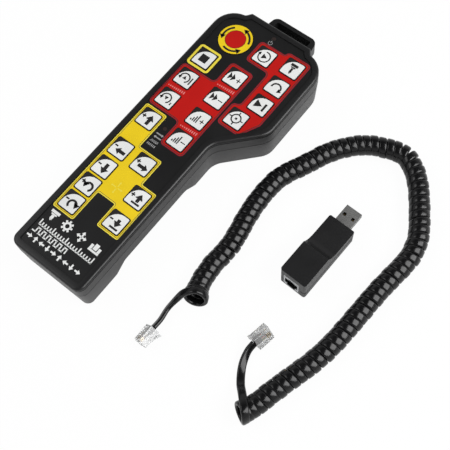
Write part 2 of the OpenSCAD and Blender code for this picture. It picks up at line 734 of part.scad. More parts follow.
back_shell();
top_cover();
graphic_overlay();
main_board();
key_switches();
controller_chip();
for (place = LEDS) led(place);
color(jack_grey) in_top_end() jack_body();  // handset_jack
color(gold) in_top_end() jack_contacts();  // handset_jack_contacts
case_screws();
board_screws();
for (key = SQUARE_KEYS) square_key(key);
emergency_key();
adapter_base();
adapter_cover();
adapter_board();
adapter_chip();
color(jack_grey) in_adapter_end() jack_body();  // adapter_jack
color(gold) in_adapter_end() jack_contacts();  // adapter_jack_contacts
usb_shell();
usb_tongue();
usb_contacts();
coiled_cord();
cord_tail_a();
cord_tail_b();
color(clear_grey) in_plug(PLUG_A) plug_body();  // plug_a
color(gold) in_plug(PLUG_A) plug_slots(0, 0);  // plug_a_contacts
color(clear_grey) in_plug(PLUG_B) plug_body();  // plug_b
color(gold) in_plug(PLUG_B) plug_slots(0, 0);  // plug_b_contacts
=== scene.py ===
"""Looks of a hand-held keypad pendant, its coiled handset cord and its USB line adapter.

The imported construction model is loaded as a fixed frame. Each sub-assembly then dresses its own
solids: the moulded housing, the printed keypad, the adapter and the cord with its clear plugs.
"""

from __future__ import annotations

import json
import logging
import math
from dataclasses import dataclass, field
from enum import Enum, auto
from typing import Iterable, Sequence

import bmesh
import bpy
import numpy as np
from mathutils import Matrix, Vector

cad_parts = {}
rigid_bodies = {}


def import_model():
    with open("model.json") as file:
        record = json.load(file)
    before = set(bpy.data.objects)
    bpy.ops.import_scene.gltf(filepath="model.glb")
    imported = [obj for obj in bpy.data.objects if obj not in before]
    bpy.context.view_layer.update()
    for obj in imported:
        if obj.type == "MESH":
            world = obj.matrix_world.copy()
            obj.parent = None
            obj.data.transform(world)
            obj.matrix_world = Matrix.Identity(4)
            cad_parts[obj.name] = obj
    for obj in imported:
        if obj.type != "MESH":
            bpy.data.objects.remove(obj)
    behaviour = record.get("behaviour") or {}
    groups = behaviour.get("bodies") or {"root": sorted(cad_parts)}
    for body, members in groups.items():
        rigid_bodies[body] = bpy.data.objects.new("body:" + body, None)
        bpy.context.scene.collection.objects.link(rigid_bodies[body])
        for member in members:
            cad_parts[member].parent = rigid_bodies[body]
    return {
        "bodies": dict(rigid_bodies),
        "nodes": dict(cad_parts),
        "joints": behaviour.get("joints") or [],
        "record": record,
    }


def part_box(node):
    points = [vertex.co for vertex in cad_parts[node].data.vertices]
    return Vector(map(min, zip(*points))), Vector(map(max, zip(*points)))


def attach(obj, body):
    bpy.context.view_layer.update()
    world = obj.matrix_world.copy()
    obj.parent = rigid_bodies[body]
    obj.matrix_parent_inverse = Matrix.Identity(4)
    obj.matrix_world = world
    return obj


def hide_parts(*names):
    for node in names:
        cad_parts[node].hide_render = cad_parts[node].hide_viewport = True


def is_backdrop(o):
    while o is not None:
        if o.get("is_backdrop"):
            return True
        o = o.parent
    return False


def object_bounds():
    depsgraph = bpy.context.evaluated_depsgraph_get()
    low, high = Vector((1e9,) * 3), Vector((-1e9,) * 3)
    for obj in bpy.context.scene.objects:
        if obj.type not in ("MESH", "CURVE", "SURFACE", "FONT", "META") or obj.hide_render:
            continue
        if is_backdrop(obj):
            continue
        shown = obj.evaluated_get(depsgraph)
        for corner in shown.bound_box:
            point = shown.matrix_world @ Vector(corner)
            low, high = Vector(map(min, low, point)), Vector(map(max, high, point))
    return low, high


MM = 0.001
WELD_GAP = 0.004  # points of a solid nearer than this, in millimetres, are joined
BEVEL_SEGMENTS = 2  # facets across a rounded edge
CUT_MARGIN = 1.0  # how far a cutter reaches past what it cuts, in millimetres
LEAST_FILLET = 0.05  # a fillet doesn't get smaller than this, in millimetres
STRAIGHT = 1e-6  # edges whose turn has a smaller sine than this are one line
HEAD_LENGTH = 0.62  # length of an arrow's head as a share of its width
SPLINE_STEPS = 24  # samples between two points of a smooth line
HOUSING_BODY = "housing"
EMERGENCY_KEY = "emergency_key"
LOG = logging.getLogger("pendant")

Point2 = tuple[float, float]
Corner = tuple[float, float, float]
Color = tuple[float, float, float]
Outlines = list[list[Point2]]


# ---- Outlines ----


def inset_corners(corners: Sequence[Corner], distance: float) -> list[Corner]:
    """Moves all edges of an outline inwards.

    Args:
        corners: Corner points, anticlockwise, each with its fillet radius.
        distance: How far the edges move inwards; negative moves them outwards.

    Returns:
        The new corners, whose fillets stay concentric with the old ones.
    """
    shifted: list[Corner] = []
    count = len(corners)
    for index, (x, y, radius) in enumerate(corners):
        here = Vector((x, y))
        before = Vector(corners[index - 1][:2])
        after = Vector(corners[(index + 1) % count][:2])
        u = (here - before).normalized()
        w = (after - here).normalized()
        left_u, left_w = Vector((-u.y, u.x)), Vector((-w.y, w.x))
        turn = u.cross(w)
        if abs(turn) < STRAIGHT:
            point = here + distance * left_u
        else:
            start = here + distance * left_u
            point = start + u * ((here + distance * left_w - start).cross(w) / turn)
        if radius > 0:
            radius = max(radius - distance, LEAST_FILLET) if turn > 0 else radius + distance
        shifted.append((point.x, point.y, radius))
    return shifted


def rounded(corners: Sequence[Corner], steps: int) -> list[Point2]:
    """Draws an outline with round corners.

    Args:
        corners: Corner points, each with its fillet radius.
        steps: Straight pieces in each fillet.

    Returns:
        The outline's points.
    """
    points: list[Point2] = []
    count = len(corners)
    for index, (x, y, radius) in enumerate(corners):
        here = Vector((x, y))
        if radius <= 0:
            points.append((x, y))
            continue
        u = (Vector(corners[index - 1][:2]) - here).normalized()
        w = (Vector(corners[(index + 1) % count][:2]) - here).normalized()
        half = u.angle(w) / 2
        centre = here + (u + w).normalized() * (radius / math.sin(half))
        arm = here + u * (radius / math.tan(half)) - centre
        turn = (math.pi - 2 * half) * (1 if (-u).cross(w) > 0 else -1)
        for step in range(steps + 1):
            angle = turn * step / steps
            c, s = math.cos(angle), math.sin(angle)
            points.append((centre.x + arm.x * c - arm.y * s, centre.y + arm.x * s + arm.y * c))
    return points


def bar(x: float, y: float, width: float, height: float) -> list[Point2]:
    """Corners of an upright rectangle about a point, anticlockwise."""
    signs = ((-1, -1), (1, -1), (1, 1), (-1, 1))
    return [(x + a * width / 2, y + b * height / 2) for a, b in signs]


def box_outline(width: float, height: float, radius: float, centre: Point2 = (0, 0)) -> list[Corner]:
    """Corners of an upright rectangle with equal fillets."""
    return [(x, y, radius) for x, y in bar(*centre, width, height)]


def circle(radius: float, steps: int = 48) -> list[Point2]:
    """Points on a circle about the origin, anticlockwise."""
    angles = [math.tau * k / steps for k in range(steps)]
    return [(radius * math.cos(a), radius * math.sin(a)) for a in angles]


def arc_band(radius: float, width: float, start: float, end: float, steps: int) -> list[Point2]:
    """A band along an arc about the origin, in degrees, as one outline."""
    angles = [math.radians(start + (end - start) * k / steps) for k in range(steps + 1)]
    edges = ((radius + width / 2, angles), (radius - width / 2, angles[::-1]))
    return [(r * math.cos(a), r * math.sin(a)) for r, along in edges for a in along]


def turned(points: Iterable[Point2], degrees: float, x: float = 0, y: float = 0) -> list[Point2]:
    """Turns points about the origin, then moves them."""
    c, s = math.cos(math.radians(degrees)), math.sin(math.radians(degrees))
    return [(x + c * px - s * py, y + s * px + c * py) for px, py in points]


def moved(shapes: Iterable[Sequence[Point2]], x: float, y: float) -> Outlines:
    """Moves outlines."""
    return [[(x + px, y + py) for px, py in shape] for shape in shapes]


# ---- Meshes ----


def linked(name: str, data: bpy.types.ID) -> bpy.types.Object:
    """Makes an object of a mesh, a lamp or a camera and puts it into the scene."""
    item = bpy.data.objects.new(name, data)
    bpy.context.scene.collection.objects.link(item)
    return item


class MeshMaker:
    """Collects solids in millimetres and turns them into one object in metres."""

    def __init__(self, name: str) -> None:
        """Starts an empty mesh with that object name."""
        self.name = name
        self.bm = bmesh.new()

    def prism(self, outline: Sequence[Point2], low: float, high: float, slot: int = 0) -> None:
        """Adds an upright prism.

        Args:
            outline: Its plan, in millimetres, either way round.
            low: Height of its floor.
            high: Height of its roof.
            slot: Material slot of its faces.
        """
        area = sum(a[0] * b[1] - a[1] * b[0] for a, b in zip(outline, [*outline[1:], outline[0]]))
        points = list(outline) if area > 0 else list(reversed(outline))
        self.loft([[(x, y, z) for x, y in points] for z in (low, high)], slot, smooth=False)

    def loft(self, rings: Sequence[Sequence[Corner]], slot: int = 0, smooth: bool = True) -> None:
        """Adds a skin through rings of equal length, with flat ends.

        Args:
            rings: Rings of points in millimetres, each anticlockwise seen from the last ring.
            slot: Material slot of its faces.
            smooth: Whether the skin is shaded smooth.
        """
        made = [[self.bm.verts.new(Vector(p) * MM) for p in ring] for ring in rings]
        faces = []
        for low, high in zip(made, made[1:]):
            for k in range(len(low)):
                n = (k + 1) % len(low)
                faces.append(self.bm.faces.new((low[k], low[n], high[n], high[k])))
        for face in faces:
            face.smooth = smooth
        faces.append(self.bm.faces.new(list(reversed(made[0]))))
        faces.append(self.bm.faces.new(made[-1]))
        for face in faces:
            face.material_index = slot

    def finish(self, materials: Sequence[bpy.types.Material],
               place: Matrix | None = None) -> bpy.types.Object:
        """Turns what was collected into a linked object.

        Args:
            materials: One material for each slot.
            place: Where it goes, in metres.

        Returns:
            The new object, whose origin is the row's origin.
        """
        mesh = bpy.data.meshes.new(self.name)
        if place is not None:
            self.bm.transform(place)
        self.bm.to_mesh(mesh)
        self.bm.free()
        for material in materials:
            mesh.materials.append(material)
        return linked(self.name, mesh)


def crisp(piece: bpy.types.Object, degrees: float, bevel: float) -> bpy.types.Object:
    """Rounds a piece's sharp edges a little and shades the rest smooth.

    Args:
        piece: A mesh object.
        degrees: Edges that turn more than this are edges of the form.
        bevel: Radius in millimetres; 0 leaves the edges sharp.

    Returns:
        The same object.
    """
    mesh = piece.data
    for name in ("custom_normal", "sharp_face", "sharp_edge"):
        if name in mesh.attributes:
            mesh.attributes.remove(mesh.attributes[name])
    mesh.polygons.foreach_set("use_smooth", [True] * len(mesh.polygons))
    weld = piece.modifiers.new("weld", "WELD")
    weld.merge_threshold = WELD_GAP * MM
    if bevel > 0:
        rounding = piece.modifiers.new("rounding", "BEVEL")
        rounding.width = bevel * MM
        rounding.segments = BEVEL_SEGMENTS
        rounding.limit_method = "ANGLE"
        rounding.angle_limit = math.radians(degrees)
        rounding.harden_normals = True
        rounding.use_clamp_overlap = True
    else:
        split = piece.modifiers.new("split", "EDGE_SPLIT")
        split.split_angle = math.radians(degrees)
    return piece


def carve(piece: bpy.types.Object, cutter: bpy.types.Object) -> None:
    """Cuts one closed mesh out of another and removes the cutter."""
    cut = piece.modifiers.new("cut", "BOOLEAN")
    cut.operation = "DIFFERENCE"
    cut.solver = "EXACT"
    cut.object = cutter
    bpy.context.view_layer.update()
    graph = bpy.context.evaluated_depsgraph_get()
    mesh = bpy.data.meshes.new_from_object(piece.evaluated_get(graph))
    piece.modifiers.remove(cut)
    old = piece.data
    piece.data = mesh
    bpy.data.meshes.remove(old)
    bpy.data.objects.remove(cutter)


def placed(x: float, y: float, z: float, turn: float) -> Matrix:
    """A move to a point, in millimetres, after a turn about Z, in degrees."""
    return Matrix.Translation(Vector((x, y, z)) * MM) @ Matrix.Rotation(math.radians(turn), 4, "Z")


# ---- Finishes ----


class Nodes:
    """A short way to write a node tree."""

    def __init__(self, tree: bpy.types.NodeTree) -> None:
        """Wraps a node tree."""
        self.tree = tree

    def add(self, kind: str, **inputs: object) -> bpy.types.Node:
        """Adds a node.

        Args:
            kind: The node's type name.
            **inputs: Properties by name, and sockets by name with spaces as underscores; a socket
                of another node is linked.

        Returns:
            The new node.
        """
        node = self.tree.nodes.new(kind)
        for name, value in inputs.items():
            socket_name = name.replace("_", " ")
            if hasattr(node, name):
                setattr(node, name, value)
                continue
            self.feed(next(s for s in node.inputs if s.name.lower() == socket_name.lower()), value)
        return node

    def feed(self, socket: bpy.types.NodeSocket, value: object) -> None:
        """Links another node's socket to an input, or sets the input's own value."""
        if isinstance(value, bpy.types.NodeSocket):
            self.tree.links.new(value, socket)
        else:
            socket.default_value = value

    def tint(self, color: object, tone: object) -> bpy.types.NodeSocket:
        """Multiplies two colours and returns the result's socket."""
        node = self.add("ShaderNodeMix", data_type="RGBA", blend_type="MULTIPLY")
        for index, value in ((0, 1.0), (6, color), (7, tone)):
            self.feed(node.inputs[index], value)
        return node.outputs[2]

    def blend(self, factor: object, a: object, b: object) -> bpy.types.NodeSocket:
        """Mixes two numbers and returns the result's socket."""
        node = self.add("ShaderNodeMix", data_type="FLOAT")
        for index, value in ((0, factor), (2, a), (3, b)):
            self.feed(node.inputs[index], value)
        return node.outputs[0]

    def math(self, operation: str, a: object, b: object) -> bpy.types.NodeSocket:
        """Does one sum and returns the result's socket."""
        node = self.add("ShaderNodeMath", operation=operation)
        for socket, value in zip(node.inputs, (a, b)):
            self.feed(socket, value)
        return node.outputs[0]


def grain_group() -> bpy.types.NodeTree:
    """Builds the grain of moulded and printed surfaces, once.

    Returns:
        A group with inputs Size (mm), Rough and Spread, and outputs Height, Roughness and Tone.
    """
    name, broad_scale, tone_low, tone_span = "moulded_grain", 45.0, 0.85, 0.3
    if name in bpy.data.node_groups:
        return bpy.data.node_groups[name]
    tree = bpy.data.node_groups.new(name, "ShaderNodeTree")
    for label, value in (("Size", 0.4), ("Rough", 0.4), ("Spread", 0.1)):
        socket = tree.interface.new_socket(label, in_out="INPUT", socket_type="NodeSocketFloat")
        socket.default_value = value
    for label in ("Height", "Roughness", "Tone"):
        tree.interface.new_socket(label, in_out="OUTPUT", socket_type="NodeSocketFloat")
    nodes = Nodes(tree)
    entry, leave = nodes.add("NodeGroupInput"), nodes.add("NodeGroupOutput")
    place = nodes.add("ShaderNodeTexCoord").outputs["Object"]
    scale = nodes.math("DIVIDE", 1 / MM, entry.outputs["Size"])
    fine = nodes.add("ShaderNodeTexNoise", Vector=place, Scale=scale, Detail=2.0)
    broad = nodes.add("ShaderNodeTexNoise", Vector=place, Scale=broad_scale, Detail=4.0)
    centred = nodes.math("SUBTRACT", broad.outputs[0], 0.5)
    spread = nodes.math("MULTIPLY", centred, entry.outputs["Spread"])
    rough = nodes.math("ADD", entry.outputs["Rough"], spread)
    tone = nodes.math("ADD", nodes.math("MULTIPLY", broad.outputs[0], tone_span), tone_low)
    for source, label in ((fine.outputs[0], "Height"), (rough, "Roughness"), (tone, "Tone")):
        tree.links.new(source, leave.inputs[label])
    return tree


@dataclass(frozen=True)
class Finish:
    """A surface: its colour, its gloss and its fine texture.

    Attributes:
        name: The material's name.
        color: Linear red, green and blue.
        rough: Mean roughness.
        spread: How much the roughness varies over the surface.
        grain: Size of the fine texture, in millimetres.
        depth: Depth of the fine texture, in micrometres.
        metal: 1 for bare metal.
        gloss: Strength of the surface reflection; 0.5 is ordinary plastic.
        clear: How much light passes through.
    """

    name: str
    color: Color
    rough: float = 0.4
    spread: float = 0.1
    grain: float = 0.4
    depth: float = 10.0
    metal: float = 0.0
    gloss: float = 0.5
    clear: float = 0.0

    def make(self) -> bpy.types.Material:
        """Builds the material, or returns it if it is there already."""
        title = f"{self.name}_finish"
        found = bpy.data.materials.get(title)
        if found is not None:
            return found
        material = bpy.data.materials.new(title)
        material.use_nodes = True
        nodes = Nodes(material.node_tree)
        shader = material.node_tree.nodes["Principled BSDF"]
        group = nodes.add("ShaderNodeGroup", node_tree=grain_group())
        for label, value in (("Size", self.grain), ("Rough", self.rough), ("Spread", self.spread)):
            group.inputs[label].default_value = value
        shade = group.outputs["Tone"]
        tone = nodes.add("ShaderNodeCombineColor", Red=shade, Green=shade, Blue=shade)
        color = nodes.tint((*self.color, 1), tone.outputs[0])
        bump = nodes.add("ShaderNodeBump", Height=group.outputs["Height"], Distance=self.depth * MM * MM)
        for label, value in (("Base Color", color), ("Roughness", group.outputs["Roughness"]),
                             ("Normal", bump.outputs[0]), ("Metallic", self.metal),
                             ("Specular IOR Level", self.gloss), ("Transmission Weight", self.clear)):
            nodes.feed(shader.inputs[label], value)
        return material


def ink(name: str, color: Color, rough: float = 0.4, gloss: float = 0.35) -> Finish:
    """A printed ink."""
    return Finish(f"{name}_ink", color, rough=rough, grain=0.3, depth=5, gloss=gloss)


# Moulded plastics
HOUSING = Finish("housing_plastic", (0.0085, 0.0085, 0.009), rough=0.36, grain=0.35, depth=14, gloss=0.36)
ADAPTER = Finish("adapter_case", (0.0085, 0.0085, 0.009), rough=0.38, grain=0.35, depth=12, gloss=0.24)
JACK_GREY = Finish("jack_plastic", (0.42, 0.43, 0.44), rough=0.4, depth=6)
USB_BLACK = Finish("plug_tongue", (0.012, 0.012, 0.012), rough=0.35, depth=5)
LAMP = Finish("lamp_lens", (0.03, 0.02, 0.018), rough=0.3, grain=0.5, depth=4)
CLEAR = Finish("clear_plastic", (0.74, 0.745, 0.745), rough=0.24, spread=0.05, grain=0.8, depth=1, clear=0.66)
# Painted shade, not a real surface: near-black for the inner walls of openings and the adapter's parting gap.
PAINTED_SHADE = Finish("dull_cavity", (0.004, 0.004, 0.004), rough=0.8, depth=8, gloss=0.1)

# The printed film and keys
FILM = Finish("overlay_film", (0.0095, 0.0095, 0.0098), rough=0.36, grain=0.3, depth=6, gloss=0.28)
KEY_EDGE = Finish("key_edge_film", (0.014, 0.012, 0.012), rough=0.4, grain=0.3, depth=6, gloss=0.35)
RED_INK = ink("red", (0.47, 0.005, 0.003), rough=0.5, gloss=0.12)
RED_BAND_INK = ink("crimson", (0.3, 0.008, 0.02), rough=0.45, gloss=0.2)
YELLOW_INK = ink("yellow", (0.78, 0.56, 0.006), rough=0.45, gloss=0.2)
YELLOW_BAND_INK = ink("pale_yellow", (0.8, 0.66, 0.05), rough=0.45)
LINE_INK = ink("dark_line", (0.045, 0.02, 0.012), rough=0.45)
WHITE_INK = ink("white", (0.76, 0.77, 0.76), rough=0.42, gloss=0.3)
GLYPH_INK = ink("black", (0.015, 0.014, 0.014))
GREY_INK = ink("grey", (0.3, 0.3, 0.3))
PALE_RED_INK = ink("pale_red", (0.72, 0.2, 0.19))

# Electronics and metal
BOARD = Finish("circuit_board", (0.02, 0.14, 0.06), grain=0.8, depth=8)
CHIP = Finish("chip_epoxy", (0.02, 0.02, 0.02), rough=0.5, grain=0.2, depth=8)
# Gold darkened well below real gold: painted shade on the contacts inside the plug's shell.
SHADED_USB_GOLD = Finish("plug_contact", (0.2, 0.14, 0.06), rough=0.35, depth=3, metal=1)
GOLD = Finish("contact_gold", (0.8, 0.55, 0.2), rough=0.3, depth=3, metal=1)
ZINC = Finish("screw_zinc", (0.45, 0.45, 0.46), rough=0.38, grain=0.3, depth=6, metal=1)
NICKEL = Finish("plug_nickel", (0.17, 0.17, 0.166), rough=0.42, spread=0.3, grain=0.25, depth=6, metal=0.55)

# The cord
CORD = Finish("cord_jacket", (0.0055, 0.0055, 0.006), rough=0.2, spread=0.12, grain=0.9, depth=6, gloss=0.3)
WIRES = tuple(Finish(f"wire_{name}", color, rough=0.35) for name, color in (
    ("black", (0.02, 0.02, 0.02)), ("red", (0.45, 0.03, 0.02)),
    ("green", (0.03, 0.2, 0.05)), ("yellow", (0.6, 0.45, 0.03)),
))


# ---- Studio ----


def bearing(azimuth: float, elevation: float) -> Vector:
    """The direction from the object to a place round it.

    Args:
        azimuth: In degrees; 0 is towards -Y and 90 towards +X.
        elevation: In degrees above the horizon.

    Returns:
        A vector of length 1.
    """
    a, e = math.radians(azimuth), math.radians(elevation)
    return Vector((math.sin(a) * math.cos(e), -math.cos(a) * math.cos(e), math.sin(e)))


@dataclass(frozen=True)
class Viewpoint:
    """The camera: where it stands and how it is turned, in degrees.

    Attributes:
        place: Position in millimetres.
        azimuth: 0 looks along +Y, 90 looks along -X.
        elevation: Angle above the horizon.
        roll: Turn about the line of sight.
        lens: Focal length in millimetres.
        sensor: Width of the sensor in millimetres.
        near: Nearest distance that shows, in metres.
        far: Farthest distance that shows, in metres.
    """

    place: tuple[float, float, float] = (201.77, -159.73, 498.36)
    azimuth: float = 46.245
    elevation: float = 67.176
    roll: float = -8.394
    lens: float = 64.0
    sensor: float = 36.0
    near: float = 0.01
    far: float = 50.0

    def set_up(self) -> None:
        """Makes the camera the scene's own."""
        a, r = math.radians(self.azimuth), math.radians(self.roll)
        back = bearing(self.azimuth, self.elevation)
        level = Vector((math.cos(a), math.sin(a), 0))
        upright = back.cross(level)
        right = math.cos(r) * level + math.sin(r) * upright
        up = back.cross(right)
        facing = Matrix((right, up, back)).transposed().to_4x4()
        data = bpy.data.cameras.new("view_camera")
        data.lens, data.sensor_width = self.lens, self.sensor
        data.clip_start, data.clip_end = self.near, self.far
        camera = linked("view_camera", data)
        camera.matrix_world = Matrix.Translation(Vector(self.place) * MM) @ facing
        bpy.context.scene.camera = camera


class LampUse(Enum):
    """What a lamp does."""

    LIGHT = auto()
    GLOSS = auto()
    BOTH = auto()


@dataclass(frozen=True)
class Softbox:
    """An area lamp aimed at the middle of the object.

    Attributes:
        name: The lamp's name.
        azimuth: Bearing of the lamp, as for the camera.
        elevation: Height of the lamp above the horizon.
        distance: Distance in metres.
        size: Width and height in metres.
        power: Watts.
        use: Whether it lights surfaces, shows in their gloss, or both.
    """

    name: str
    azimuth: float
    elevation: float
    distance: float
    size: tuple[float, float]
    power: float
    use: LampUse

    def hang(self, target: Vector) -> None:
        """Makes the lamp, turned towards a point."""
        back = bearing(self.azimuth, self.elevation)
        data = bpy.data.lights.new(self.name, "AREA")
        data.shape, data.energy = "RECTANGLE", self.power
        data.size, data.size_y = self.size
        lamp = linked(self.name, data)
        lamp.location = target + back * self.distance
        lamp.rotation_mode = "QUATERNION"
        lamp.rotation_quaternion = (-back).to_track_quat("-Z", "Y")
        lamp.visible_diffuse = self.use is not LampUse.GLOSS
        lamp.visible_glossy = self.use is not LampUse.LIGHT


@dataclass
class Studio:
    """A white sweep with soft lamps and a bright room around it.

    Attributes:
        floor_size: Side of the floor in metres.
        floor_tone: How light the floor is.
        floor_rough: The floor's roughness.
        floor_glow: How much of the floor as seen is plain white; the rest shows shadows.
        floor_mirrored: The same for the floor as mirrored in the pieces.
        room_fill: Strength of the room's light on surfaces.
        room_low: Strength of the room near the horizon, as mirrored in the pieces.
        room_high: The same overhead.
        room_fade: Sines of the elevations between which the one turns into the other.
        lamps: The lamps.
    """

    floor_size: float = 6.0
    floor_tone: float = 0.9
    floor_rough: float = 0.9
    floor_glow: float = 0.96
    floor_mirrored: float = 0.4
    room_fill: float = 0.55
    room_low: float = 0.7
    room_high: float = 0.03
    room_fade: tuple[float, float] = (0.35, 0.85)
    lamps: list[Softbox] = field(default_factory=lambda: [
        Softbox("key_lamp", 110, 48, 1.1, (0.5, 0.4), 6.0, LampUse.LIGHT),
        Softbox("window_lamp", 113, 47, 1.1, (1.0, 1.0), 22.0, LampUse.GLOSS),
        Softbox("fill_lamp", -60, 50, 1.3, (0.9, 0.5), 4.0, LampUse.BOTH),
    ])

    def build(self, middle: Vector) -> None:
        """Makes the floor, the room and the lamps around the object's middle."""
        bpy.context.scene.view_settings.view_transform = "Standard"
        self.floor()
        self.room()
        for lamp in self.lamps:
            lamp.hang(middle)

    def floor(self) -> None:
        """Makes the white surface that the object lies on, which keeps a faint shadow."""
        mesh = bpy.data.meshes.new("floor")
        corners = [(x, y, 0) for x, y in bar(0, 0, self.floor_size, self.floor_size)]
        mesh.from_pydata(corners, [], [(0, 1, 2, 3)])
        floor = linked("floor", mesh)
        material = bpy.data.materials.new("white_sweep")
        material.use_nodes = True
        nodes = Nodes(material.node_tree)
        shader = material.node_tree.nodes["Principled BSDF"]
        shader.inputs["Base Color"].default_value = (self.floor_tone,) * 3 + (1,)
        shader.inputs["Roughness"].default_value = self.floor_rough
        shader.inputs["Specular IOR Level"].default_value = 0.0
        rays = nodes.add("ShaderNodeLightPath").outputs
        seen = nodes.math("MAXIMUM", rays["Is Camera Ray"], rays["Is Transmission Ray"])
        share = nodes.math("MAXIMUM", nodes.math("MULTIPLY", seen, self.floor_glow),
                           nodes.math("MULTIPLY", rays["Is Glossy Ray"], self.floor_mirrored))
        glow = nodes.add("ShaderNodeEmission", Strength=1.0)
        mixed = nodes.add("ShaderNodeMixShader")
        for socket, source in zip(mixed.inputs, (share, shader.outputs[0], glow.outputs[0])):
            nodes.feed(socket, source)
        nodes.feed(material.node_tree.nodes["Material Output"].inputs[0], mixed.outputs[0])
        material.cycles.emission_sampling = "NONE"
        mesh.materials.append(material)
        floor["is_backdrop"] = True

    def room(self) -> None:
        """Makes a room that is white at the horizon and dimmer overhead."""
        world = bpy.data.worlds.new("room")
        bpy.context.scene.world = world
        world.cycles.sampling_method = "NONE"
        world.use_nodes = True
        nodes = Nodes(world.node_tree)
        around = nodes.add("ShaderNodeTexCoord").outputs["Generated"]
        height = nodes.add("ShaderNodeSeparateXYZ", Vector=around).outputs["Z"]
        ramp = nodes.add("ShaderNodeMapRange", interpolation_type="SMOOTHSTEP", Value=height,
                         From_Min=self.room_fade[0], From_Max=self.room_fade[1],
                         To_Min=self.room_low, To_Max=self.room_high)
        rays = nodes.add("ShaderNodeLightPath").outputs
        fill = nodes.blend(rays["Is Glossy Ray"], self.room_fill, ramp.outputs[0])
        strength = nodes.blend(rays["Is Camera Ray"], fill, 1.0)
        for socket, value in zip(world.node_tree.nodes["Background"].inputs, ((1, 1, 1, 1), strength)):
            nodes.feed(socket, value)


# ---- Printed signs ----


def plus(x: float, y: float, size: float, stroke: float) -> list[Point2]:
    """A plus sign."""
    a, b = size / 2, stroke / 2
    arms = [(-a, -b), (-b, -b), (-b, -a), (b, -a), (b, -b), (a, -b),
            (a, b), (b, b), (b, a), (-b, a), (-b, b), (-a, b)]
    return moved([arms], x, y)[0]


def arrow(x: float, y: float, length: float, degrees: float, stroke: float, head: float) -> list[Point2]:
    """A bold arrow about a point; 0 degrees points along +X, and head is the head's width."""
    tip, neck, tail = length / 2, length / 2 - head * HEAD_LENGTH, -length / 2
    points = [(tail, -stroke / 2), (neck, -stroke / 2), (neck, -head / 2), (tip, 0), (neck, head / 2),
              (neck, stroke / 2), (tail, stroke / 2)]
    return turned(points, degrees, x, y)


def wedge(x: float, y: float, width: float, height: float, degrees: float = 0) -> list[Point2]:
    """A triangle about a point; 0 degrees points along +X."""
    points = [(-width / 2, -height / 2), (width / 2, 0), (-width / 2, height / 2)]
    return turned(points, degrees, x, y)


def ring(radius: float, stroke: float) -> list[Point2]:
    """A ring about the origin, with a fine gap that keeps it one outline."""
    return arc_band(radius, stroke, 0, 357, steps=40)


def turn_arrow(x: float, y: float, radius: float, stroke: float, start: float, end: float) -> Outlines:
    """An arc with a head at its end, both angles in degrees; it may run either way."""
    sign = 1 if end > start else -1
    a = math.radians(end)
    length, width = stroke * 2.4, stroke * 3
    head = wedge(radius * math.cos(a), radius * math.sin(a), length, width, end + 90 * sign)
    return moved((arc_band(radius, stroke, start, end, steps=20), head), x, y)


def pair(shape: Outlines, positive: bool) -> Outlines:
    """Adds a plus or minus sign at the upper left of a key's sign."""
    return [plus(-3.9, 0.5, 3.0, 1.0) if positive else bar(-3.9, 0.5, 2.6, 1.1), *shape]


def gear(radius: float, stroke: float, teeth: int) -> Outlines:
    """A gear wheel about the origin: a ring and its teeth."""
    tooth = bar(0, radius + stroke * 0.9, stroke, stroke)
    return [ring(radius, stroke), *(turned(tooth, 360 * k / teeth) for k in range(teeth))]


def pulse_train(x: float, y: float, period: float, height: float, stroke: float, count: int) -> Outlines:
    """A square wave that starts at a point."""
    shapes = []
    for k in range(count):
        left = x + period * k
        shapes += [bar(left + period / 4, y - height / 2, period / 2 + stroke, stroke),
                   bar(left + period * 0.75, y + height / 2, period / 2 + stroke, stroke),
                   bar(left + period / 2, y, stroke, height), bar(left + period, y, stroke, height)]
    return shapes


def growing_ticks(pitch: float, width: float, low: float, high: float, count: int) -> Outlines:
    """A row of ticks that grow from left to right, about the origin."""
    heights = [low + (high - low) * k / (count - 1) for k in range(count)]
    return [bar(pitch * (k - (count - 1) / 2), (h - high) / 2, width, h) for k, h in enumerate(heights)]


def feed(mark: list[Point2]) -> Outlines:
    """The sign of the feed keys: two wedges and a mark."""
    return [wedge(-3.2, -0.4, 2.8, 6.2), wedge(-0.6, -0.4, 2.8, 6.2), mark]


def jog(mark: list[Point2]) -> Outlines:
    """The sign of the jog keys: growing ticks and a mark."""
    return [*moved(growing_ticks(1.45, 0.9, 1.4, 6.4, 4), -2.0, -0.3), mark]


